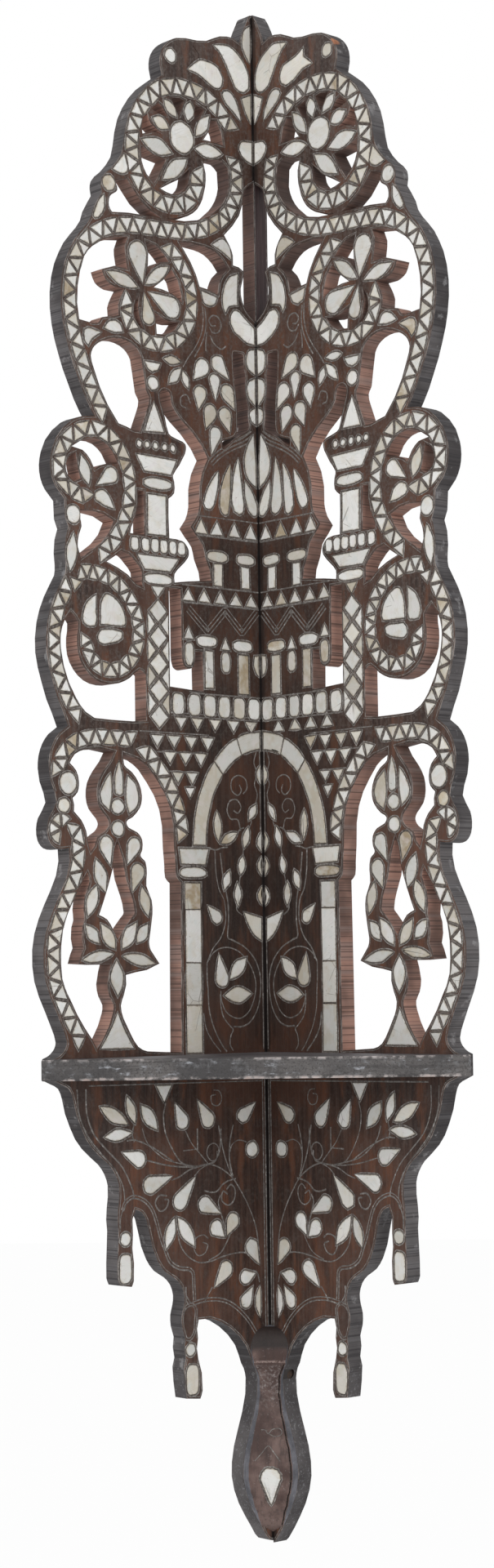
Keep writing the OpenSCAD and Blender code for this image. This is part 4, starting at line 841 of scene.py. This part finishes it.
# strokes on one wing, each its knots (u, z) or (lines, gap between them, knots); the other wing has the same
vines = {
    "bracketStems": [
        [(50, -70), (66, -71), (85, -69), (102, -65)],
        [(66, -71), (74, -67.5), (81, -59), (86.5, -48.5), (88, -38), (86, -30)],
        [(62, -71), (82.5, -66.5), (92, -62), (101.5, -54), (105.5, -45)],
        [(80, -67), (92, -60), (101, -55.5), (111, -52), (118, -52)],
        [(112, -53), (113.5, -48), (112, -42)],
        [(51, -70), (58, -63), (65, -56), (70, -48)],
        [(60, -61), (60, -47)],
        [(72, -60.5), (60, -60)],
        [(50, -70), (45, -68), (41, -60), (40, -48)],
        [(30.5, -79), (33, -68), (32.5, -57), (29.5, -46)],
        [(31, -79), (37, -66), (40, -55), (42, -46)],
        [(33, -64), (30.5, -58.5), (25, -56), (18, -57.5)],
        [(82, -78.5), (75, -76.5), (66, -72.5), (52, -70)],
        [(63, -77), (58, -73), (51, -70)],
        [(50, -70), (41, -73), (31, -79.5), (24, -88), (17, -99), (12, -110), (9.6, -120), (9, -131)],
        [(55, -86.5), (49, -88), (44, -87.5), (39, -83.5), (34, -81.5), (28, -80.5)],
        [(41, -90), (43, -95), (40.5, -103), (38, -110), (37, -116)],
        [(77.5, -112), (75, -120), (69, -127), (60, -131.5), (50, -131.5), (41, -129.5), (30, -128),
         (20, -128.5), (12, -134)],
        [(52, -131), (42, -127), (36, -120), (31, -111)],
        [(49, -148), (53, -153), (56, -157)],
        [(14, -140), (10.5, -142), (8.5, -148)]],
    "bracketCurls": [
        [(42, -65), (42.5, -59.5), (46.5, -57), (51, -59), (52, -64), (48.5, -68), (44, -67), (43.5, -62)],
        [(46, -23), (41, -24), (39, -29), (42, -33), (47, -32), (48, -27), (44, -26)],
        [(86, -88), (92, -87.5), (95.5, -92), (92, -97), (87, -96), (84.5, -91), (88, -90)],
        [(36, -87), (32, -84), (28.5, -88), (30, -94.5), (35, -97), (40, -93.5), (39, -88), (35, -90)],
        [(52, -117), (56, -114.5), (62, -116), (64.5, -121), (61, -127), (55, -126), (52.5, -121),
         (57, -119)]],
    "bracketBorders": [
        [(150, -19), (149.5, -34), (144, -47), (134, -57), (122, -68), (114.5, -81), (112.5, -88)],
        [(157, -19), (155.5, -34), (149, -47.5), (139, -58.5), (128, -69), (121.5, -80), (120, -90)],
        (2, 1.8, [(122, -95), (119.5, -90), (113, -87), (104, -90), (98, -96), (94.5, -104), (91.5, -113),
                  (88, -121), (84, -129), (77, -133.5), (68, -135)]),
        (2, 1.8, [(68, -135), (65, -138), (64.5, -146), (64, -155)]),
        (2, 1.8, [(72, -146), (71.5, -152), (68, -157)]),
        (2, 2.0, [(66, -157), (55, -155.5), (42, -156.5), (31, -161), (20, -170), (12.5, -179.5), (9, -185)]),
        (2, 1.6, [(63.5, -168), (63, -161), (66, -157.5), (71, -158.5), (75, -164), (75.5, -171), (73, -177),
                  (68.5, -179), (64.5, -175), (63.5, -168)]),
        [(124, -108), (123.5, -99), (120, -92)]],
    "nicheLoops": [
        [(42, 131), (41.5, 118), (39, 106), (34.5, 98), (33.5, 86), (37.5, 75), (45, 67), (50, 58)],
        [(37.5, 129), (35, 112), (31.5, 98), (31, 85), (32, 75), (27, 72.5), (17, 68), (8.5, 60), (4.3, 50),
         (4, 40), (6.5, 29), (12.5, 20.5), (20, 17), (28, 17)],
        [(48, 60), (46.5, 63), (40, 67), (31, 68), (21, 64.5), (12.5, 56), (8.3, 46), (9.3, 36), (14, 27),
         (21, 22.5), (28, 23), (34.5, 27), (38, 34), (38.5, 40)],
        [(50, 58), (50, 48), (49.3, 40), (48.5, 28), (44.5, 16), (38, 5.5), (34, 1)],
        [(53.3, 26), (51.3, 16), (46, 8), (39, 1)],
        [(39, 38), (38.5, 30), (36.3, 23), (31, 17.5), (28.4, 15), (30.4, 11), (31, 5.5), (28.5, 1.5)],
        [(46, 131.8), (41, 131), (36, 132.5), (31, 133)],
        [(23, 140), (20.5, 144.5), (16.5, 146)],
        [(17, 137), (17.5, 131), (18.3, 126)],
        [(20, 117), (21, 111), (21.5, 107)],
        [(24, 96), (23.5, 92), (19, 89)],
        [(11.5, 152), (10, 150), (12, 146)]],
    "nicheCurls": [
        [(17, 168), (13.5, 172), (15, 178), (21, 180), (26.5, 177), (27, 170.5), (22, 167), (18.5, 170),
         (20, 174)],
        [(19.5, 144), (22, 151), (28, 151.5), (31, 157), (28.5, 163), (22.5, 164), (19, 159.5),
         (21.5, 155.5), (25.5, 157)],
        [(5, 196), (7, 189), (4.5, 182), (6.8, 175), (4.5, 168), (6.5, 161)]],
    "domeOgee": [
        (3, 2.3, [(4, 407), (12, 401.5), (24, 396), (34, 390), (41, 384)]),
        [(58, 421), (61, 426), (66, 424), (66, 419), (62, 417.5)],
        [(46.5, 487), (46, 478), (48, 468), (53, 459), (60, 450), (64, 444)],
        [(44.6, 486), (43.6, 477), (45, 468), (49, 459.5), (54, 452)],
        [(43, 470), (44, 463), (44, 457.5)],
        [(41, 474), (38, 470.5), (33, 471.5), (30.5, 476), (32.5, 481), (37.5, 482), (41, 478.5), (39, 475),
         (35.5, 475.5)],
        [(40.5, 468.5), (37, 463.5), (31, 460.5), (26.5, 463)]]}
# old splits in the wood
cracks = {
    "left": [
        [(152, 128), (150.5, 122), (151.5, 117), (149.5, 111)],
        [(52, 660), (47, 655), (46, 648), (42, 644)]],
    "right": [
        [(131, 562), (126, 563.4), (121, 562.6), (116, 564), (112, 566.5), (108.5, 567.5)],
        [(171, 223.2), (166, 222.6), (160, 223.6), (154, 223)],
        [(121, 534), (117, 531.5), (115.5, 528), (111, 525.5)],
        [(132, 471), (126, 469.4), (121, 470.5)],
        [(16, 681), (13, 678), (12.5, 672), (9, 668), (8.5, 661)]]}
# strokes with straight sides
rulings = [
    (3, 2.4, [(62, 286.5), (45.5, 272.5), (30.5, 287.5), (16, 274), (2.5, 288.5)]),
    [(67, 301.8), (1, 301.8)], [(66, 290.3), (1, 290.3)], (2, 1.8, [(78, 217.4), (1, 217.4)]),
    [(104, 205.2), (46, 205.2)], [(92, 192.6), (50, 192.6)], [(80, 180.6), (57, 180.6)],
    [(55, 348), (1, 348)], [(58, 335.2), (1, 335.2)], [(56, 231.8), (1, 231.8)],
    [(148, -17), (4, -18.5)], [(3.6, -16), (3.6, -180)], [(1.7, -14), (1.7, -182)],
    [(2, 2), (2, 76)], [(2, 134), (2, 198)]]


def finePath(knots, steps=40):
    # straight pieces cut into even steps
    t = np.linspace(0, 1, steps)[:, None, None]
    return (knots[:-1] * (1 - t) + knots[1:] * t).transpose(1, 0, 2).reshape(-1, 2)


def sideways(path):
    # unit vector across a path on the face
    along = unit(np.gradient(path, axis=0))
    return np.stack([-along[:, 1], along[:, 0]], 1)


def onWood(spots, starts, finishes):
    # even-odd rule: an odd count of outline pieces lies beyond a spot that is on the wood
    rise = finishes[:, 1] - starts[:, 1]
    slope = (finishes[:, 0] - starts[:, 0]) / np.where(rise == 0, 1.0, rise)
    height = spots[:, 1][:, None]
    crosses = (starts[:, 1] > height) != (finishes[:, 1] > height)
    beyond = starts[:, 0] + slope * (height - starts[:, 1]) > spots[:, 0][:, None]
    return (crosses & beyond).sum(1) % 2 == 1


def layStrips(name, side, paths, half, material):
    # a low ridge carried along every path, left out where the wood ends
    outline = sides(edges[side], True)
    flat = [faceFlat(side, ends) for ends in outline]
    sizes = [len(path) for path in paths]
    centre = np.concatenate(paths)
    across = np.concatenate([sideways(path) for path in paths])
    last = np.zeros(len(centre), bool)
    last[np.cumsum(sizes) - 1] = True
    fits = np.concatenate([onWood(path, *flat) for path in paths])
    fits &= nearest(onWing(side, *centre.T), *outline) > wireLook["room"] * mm
    width = half * np.repeat(chance.uniform(*wireLook["uneven"], len(paths)), sizes)
    width = width * chance.uniform(*wireLook["hammered"], len(centre))
    rings = []
    for part, rise in wireLook["profile"]:
        u, z = (centre + across * (part * width)[:, None]).T
        rings.append(onWing(side, u, z, rise))
    here = np.flatnonzero(fits & ~last & np.roll(fits, -1))
    quads = stripFaces(here, len(centre), len(rings))
    if side == "left":
        quads = [quad[:, ::-1] for quad in quads]
    addPiece(name, np.concatenate(rings), quads, material, sharpAngle=60)
    print(name, len(paths), "lines,", len(here), "steps")


def makeWires(side):
    # every stroke as one line or as parallel lines a gap apart, the vines curved and the rulings straight
    paths = []
    for strokes, curve in [(row, smoothPath) for row in vines.values()] + [(rulings, finePath)]:
        for stroke in strokes:
            lines, gap, knots = stroke if isinstance(stroke, tuple) else (1, 0, stroke)
            path = curve(np.array(knots, float))
            steps = (np.arange(lines) - (lines - 1) / 2) * gap
            paths += [drawnOn(side, path + sideways(path) * step) for step in steps]
    layStrips(side + "Wires", side, paths, wireLook["half"], wire)
    layStrips(side + "Cracks", side, [finePath(np.array(knots, float)) for knots in cracks[side]],
              wireLook["crack"], split)


def makeEdgeLines(side):
    # one wire all along the sawn edges, where no plate is too near
    edge = edges[side]
    out = faceOut(side)
    centre = edge["spot"] - edge["lead"] * edgeLook["inset"] * mm
    free = nearest(centre, *sides(edge, False)) > edgeLook["plateRoom"] * mm
    free &= nearest(centre, *sides(edge, True)) > edgeLook["edgeRoom"] * edgeLook["inset"] * mm
    rings = [centre + edge["lead"] * part * edgeLook["half"] * mm + out * rise * mm
             for part, rise in wireLook["profile"]]
    here = np.flatnonzero(edge["sawn"] & free & free[edge["next"]])
    quads = [band[here] for band in bandFaces(len(centre), edge["next"], len(rings))]
    addPiece(side + "EdgeWire", np.concatenate(rings), quads, wire, sharpAngle=60)
    print(side, "edge wire:", len(here), "steps")


for side in wings:
    makeWires(side)
    makeEdgeLines(side)


# Shelf, finial block and nails

# millimetres, shares of the rounding, and how many places share their wear
shelfLook = {"round": 0.9, "zone": 1.1, "step": 2.0, "uneven": 0.6, "rounded": 0.29, "spread": 4}


def makeShelf(material):
    # the outline of the top carried down over a worn upper arris, the edge and a worn lower arris
    points, rows = cadSurface("shelf")
    up = np.array([0, 0, 1.0])
    spot, follow, lead = rim(points, rows[points[rows][..., 2].min(1) > points[:, 2].max() - samePlace], up)
    order = inOrder(follow, np.zeros(len(follow), int))[0]
    corner, miter = points[spot[order]], lead[order]
    base, away = [], []
    for begin, finish, lean in zip(corner, np.roll(corner, -1, 0), miter):
        length = np.linalg.norm(finish - begin)
        steps = max(2, int(length / mm / shelfLook["step"]))
        t = np.arange(steps)[:, None] / steps
        base.append(begin + t * (finish - begin))
        away.append(np.where(t == 0, lean, np.cross((finish - begin) / length, up)))
    base, away = np.concatenate(base), np.concatenate(away)
    count = len(base)
    thick = np.ptp(points[:, 2]) / mm
    # neighbouring places share the wear of an arris
    spread = shelfLook["spread"]
    wear = np.tile(chance.uniform(0, 1, count), 3)
    wear = np.convolve(wear, np.ones(spread) / spread, "same")[count:2 * count]
    radius = shelfLook["round"] * (1 - shelfLook["uneven"] + 2 * shelfLook["uneven"] * wear)
    none, zone, rounded = 0 * radius, shelfLook["zone"], shelfLook["rounded"] * radius
    # inset, fall, rub and top of each ring from the top face down to the edge; the lower half mirrors it
    upper = [(radius + zone, none, 0.0, 1.0), (radius, none, 0.6, 1.0), (rounded, rounded, 1.0, 0.5),
             (none, radius, 0.6, 0.0), (none, radius + zone, 0.0, 0.0)]
    profile = upper + [(inset, thick - fall, rub, 0.0) for inset, fall, rub, top in upper[::-1]]
    rings = [base - away * inset[:, None] * mm - up * fall[:, None] * mm for inset, fall, rub, top in profile]
    values = {"rub": ("POINT", np.repeat([rub for inset, fall, rub, top in profile], count)),
              "top": ("POINT", np.repeat([top for inset, fall, rub, top in profile], count)),
              "low": ("POINT", np.repeat([0, 1], len(upper) * count))}
    bands = bandFaces(count, np.roll(np.arange(count), -1), len(rings))
    caps = [np.arange(count)[None], (len(rings) - 1) * count + np.arange(count)[None, ::-1]]
    addPiece("shelfBoard", np.concatenate(rings), bands + caps, material, ["shelf"], values,
             sharpAngle=50)


# millimetres, degrees, the share of pale wear on an arris, how far the front faces forward and the joint's
# rim to the right, and the joint as inset and half width
blockLook = {"bevel": 0.8, "segments": 2, "sharp": 38, "wear": 0.55, "line": 0.3, "lift": 0.06,
             "forward": 0.2, "rightward": 0.3, "joint": (1.0, 0.45), "jointEnds": (-309.0, -199.0)}
blockLines = [[(-10, 4.7), (-5.5, 9.5), (-1.4, 13.8), (2.2, 9.8), (6.1, 4.5)],
              [(-6, 23.6), (-3.2, 23.4), (-1.4, 21.3), (1.5, 23.9), (6, 24.2), (7.6, 22.2)],
              [(-1.4, 21.3), (3, 19.5), (6.5, 20.5), (7.6, 22.2)]]    # from the middle of the drop's top


def makeBlock(material, wornMaterial):
    # the solid with its arrises rubbed round; gives back its points and the triangles that face forward
    points, rows = cadSurface("finial_block")
    normal = rowNormals(points, rows)
    front = (np.abs(normal[:, 0]) < blockLook["forward"]) & (normal[:, 1] < -blockLook["forward"])
    block = addPiece("finialBlock", points, [rows], material, ["finial_block"],
                     {"kind": ("FACE", front)})
    block.data.materials.append(wornMaterial)
    worn = block.modifiers.new("rubbed", "BEVEL")
    worn.width = blockLook["bevel"] * mm
    worn.segments = blockLook["segments"]
    worn.limit_method = "ANGLE"
    worn.angle_limit = math.radians(blockLook["sharp"])
    worn.material = 1
    return points, rows[front]


def makeBlockLines(points, front):
    # lines cut above the drop: a low ridge on each path, as far forward as the front's corners at that level
    low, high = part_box("finial_drop")
    corner = points[np.unique(front)]
    corner = corner[corner[:, 2] > high[2] + 1 * mm]
    level, place = np.unique(np.round(corner[:, 2] / mm, 2), return_inverse=True)
    reach = np.full(len(level), 1.0)
    np.minimum.at(reach, place.reshape(-1), corner[:, 1])
    rings, quads, count = [], [], 0
    for knots in blockLines:
        path = smoothPath(np.array(knots, float))
        across = sideways(path)
        for part, rise in wireLook["profile"]:
            x, z = (path + across * part * blockLook["line"]).T
            z = z + high[2] / mm
            y = np.interp(z, level, reach) / mm - rise - blockLook["lift"]
            rings.append(np.stack([x + (low[0] + high[0]) / 2 / mm, y, z], 1) * mm)
        strip = stripFaces(np.arange(len(path) - 1), len(path), len(wireLook["profile"]))
        quads += [quad + count for quad in strip]
        count += len(wireLook["profile"]) * len(path)
    addPiece("finialLines", np.concatenate(rings), quads, wire, sharpAngle=60)


def makeBlockJoint(points, front):
    # dark joint down the front's right-hand edge: a low ridge along the longest rim, where it faces right
    spot, follow, lead = rim(points, front, finialOut)
    loop = max(inOrder(follow, islands(len(spot), np.stack([np.arange(len(spot)), follow], 1))), key=len)
    path = points[spot[loop[lead[loop][:, 0] > blockLook["rightward"]]]]
    path = path[np.argsort(path[:, 2])]
    foot, head = np.array(blockLook["jointEnds"]) * mm
    path = path[(path[:, 2] > foot) & (path[:, 2] < head)]
    inset, half = blockLook["joint"]
    rings = [path + np.array([-(inset - part * half), -rise - blockLook["lift"], 0.0]) * mm
             for part, rise in wireLook["profile"]]
    strip = stripFaces(np.arange(len(path) - 1), len(path), len(rings))
    quads = [np.roll(quad[:, ::-1], 1, 1) for quad in strip]
    addPiece("finialJoint", np.concatenate(rings), quads, split, sharpAngle=60)


makeShelf(shelfWalnut())
blockFront = makeBlock(finialWalnut("finialWalnut", 0.0), finialWalnut("finialWorn", blockLook["wear"]))
makeBlockLines(*blockFront)
makeBlockJoint(*blockFront)
iron = forgedIron()
for node in ("corner_nails", "shelf_nails", "block_nails", "tail_nail"):
    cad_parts[node].data.materials.clear()
    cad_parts[node].data.materials.append(iron)
print("shelf, finial block and nails done")


# Camera, light and floor

view = {"place": (93.2, -1823.8, 44.8), "yaw": -3.24, "pitch": -4.09, "roll": -0.81, "lens": 63.975,
        "sensor": 36}


def aimCamera():
    # turn about the upright, then the sideways axis, then the line of sight
    yaw, pitch, roll = [math.radians(view[key]) for key in ("yaw", "pitch", "roll")]
    turnYaw = np.array([[math.cos(yaw), -math.sin(yaw), 0], [math.sin(yaw), math.cos(yaw), 0], [0, 0, 1]])
    level = np.array([[1, 0, 0], [0, 0, -1], [0, 1, 0]])
    tip = np.array([[1, 0, 0], [0, math.cos(pitch), -math.sin(pitch)], [0, math.sin(pitch), math.cos(pitch)]])
    lean = np.array([[math.cos(roll), -math.sin(roll), 0], [math.sin(roll), math.cos(roll), 0], [0, 0, 1]])
    right, down, ahead = lean @ tip @ level @ turnYaw
    camera = bpy.data.objects.new("camera", bpy.data.cameras.new("camera"))
    camera.data.lens = view["lens"]
    camera.data.sensor_width = view["sensor"]
    world = np.eye(4)
    world[:3, 0], world[:3, 1], world[:3, 2] = right, -down, -ahead
    world[:3, 3] = np.array(view["place"]) * mm
    camera.matrix_world = world.T.tolist()
    bpy.context.scene.collection.objects.link(camera)
    bpy.context.scene.camera = camera


lamps = {"keyLeft": ((-1.3, -2.3, 0.62), 1.6, 18.0), "keyRight": ((1.5, -2.3, 0.5), 1.6, 16.0)}
lampTarget = (0, -0.05, 0.2)
floorLook = {"drop": 0.22, "size": 9.0, "tone": 0.86, "world": 0.62, "glow": 0.96, "rough": 0.9}


def backgroundRays(start):
    # 1 for what the camera sees, straight or in a glossy or clear surface
    rays = [start.node("ShaderNodeLightPath", {}, {}, key)
            for key in ("Is Camera Ray", "Is Glossy Ray", "Is Transmission Ray")]
    return (rays[0] + rays[1] + rays[2]).held()


def hangLamps():
    # each lamp faces the target: tipped from straight down, then turned about the upright
    for name, (spot, size, watts) in lamps.items():
        lamp = bpy.data.lights.new(name, "AREA")
        lamp.size = size
        lamp.energy = watts
        thing = bpy.data.objects.new(name, lamp)
        thing.location = spot
        gaze = np.array(lampTarget) - np.array(spot)
        tip = math.acos(-gaze[2] / np.linalg.norm(gaze))
        thing.rotation_euler = (tip, 0, math.atan2(gaze[1], gaze[0]) - math.pi / 2)
        bpy.context.scene.collection.objects.link(thing)


def lightWorld():
    # white where the camera sees it, dimmer as light
    world = bpy.data.worlds.new("studio")
    world.use_nodes = True
    bpy.context.scene.world = world
    sky = Value(world.node_tree)
    back = world.node_tree.nodes["Background"]
    back.inputs["Color"].default_value = (1, 1, 1, 1)
    strength = backgroundRays(sky) * (1.0 - floorLook["world"]) + floorLook["world"]
    world.node_tree.links.new(strength.socket, back.inputs["Strength"])


def layFloor():
    # a square that glows white to the camera and still keeps some shadow
    half = floorLook["size"] / 2
    low = cadBounds[0][2] - floorLook["drop"]
    spots = np.array([(-half, -half, low), (half, -half, low), (half, half, low), (-half, half, low)])
    floorMesh = plainMesh("floor", spots, [np.array([(0, 1, 2, 3)])])
    floor = bpy.data.objects.new("floor", floorMesh)
    bpy.context.scene.collection.objects.link(floor)
    material, start, shader = newMaterial("paleFloor")
    shader.inputs["Base Color"].default_value = (floorLook["tone"],) * 3 + (1.0,)
    shader.inputs["Roughness"].default_value = floorLook["rough"]
    glow = start.node("ShaderNodeEmission", {}, {"Color": (1, 1, 1, 1), "Strength": 1.0})
    seen = backgroundRays(start) * floorLook["glow"]
    mixed = start.node("ShaderNodeMixShader", {}, {0: seen, 1: Value(start.tree, shader.outputs[0]), 2: glow})
    start.tree.links.new(mixed.socket, start.tree.nodes["Material Output"].inputs["Surface"])
    floorMesh.materials.append(material)


aimCamera()
hangLamps()
lightWorld()
layFloor()
bpy.context.scene.view_settings.view_transform = "Standard"
print("stage done")
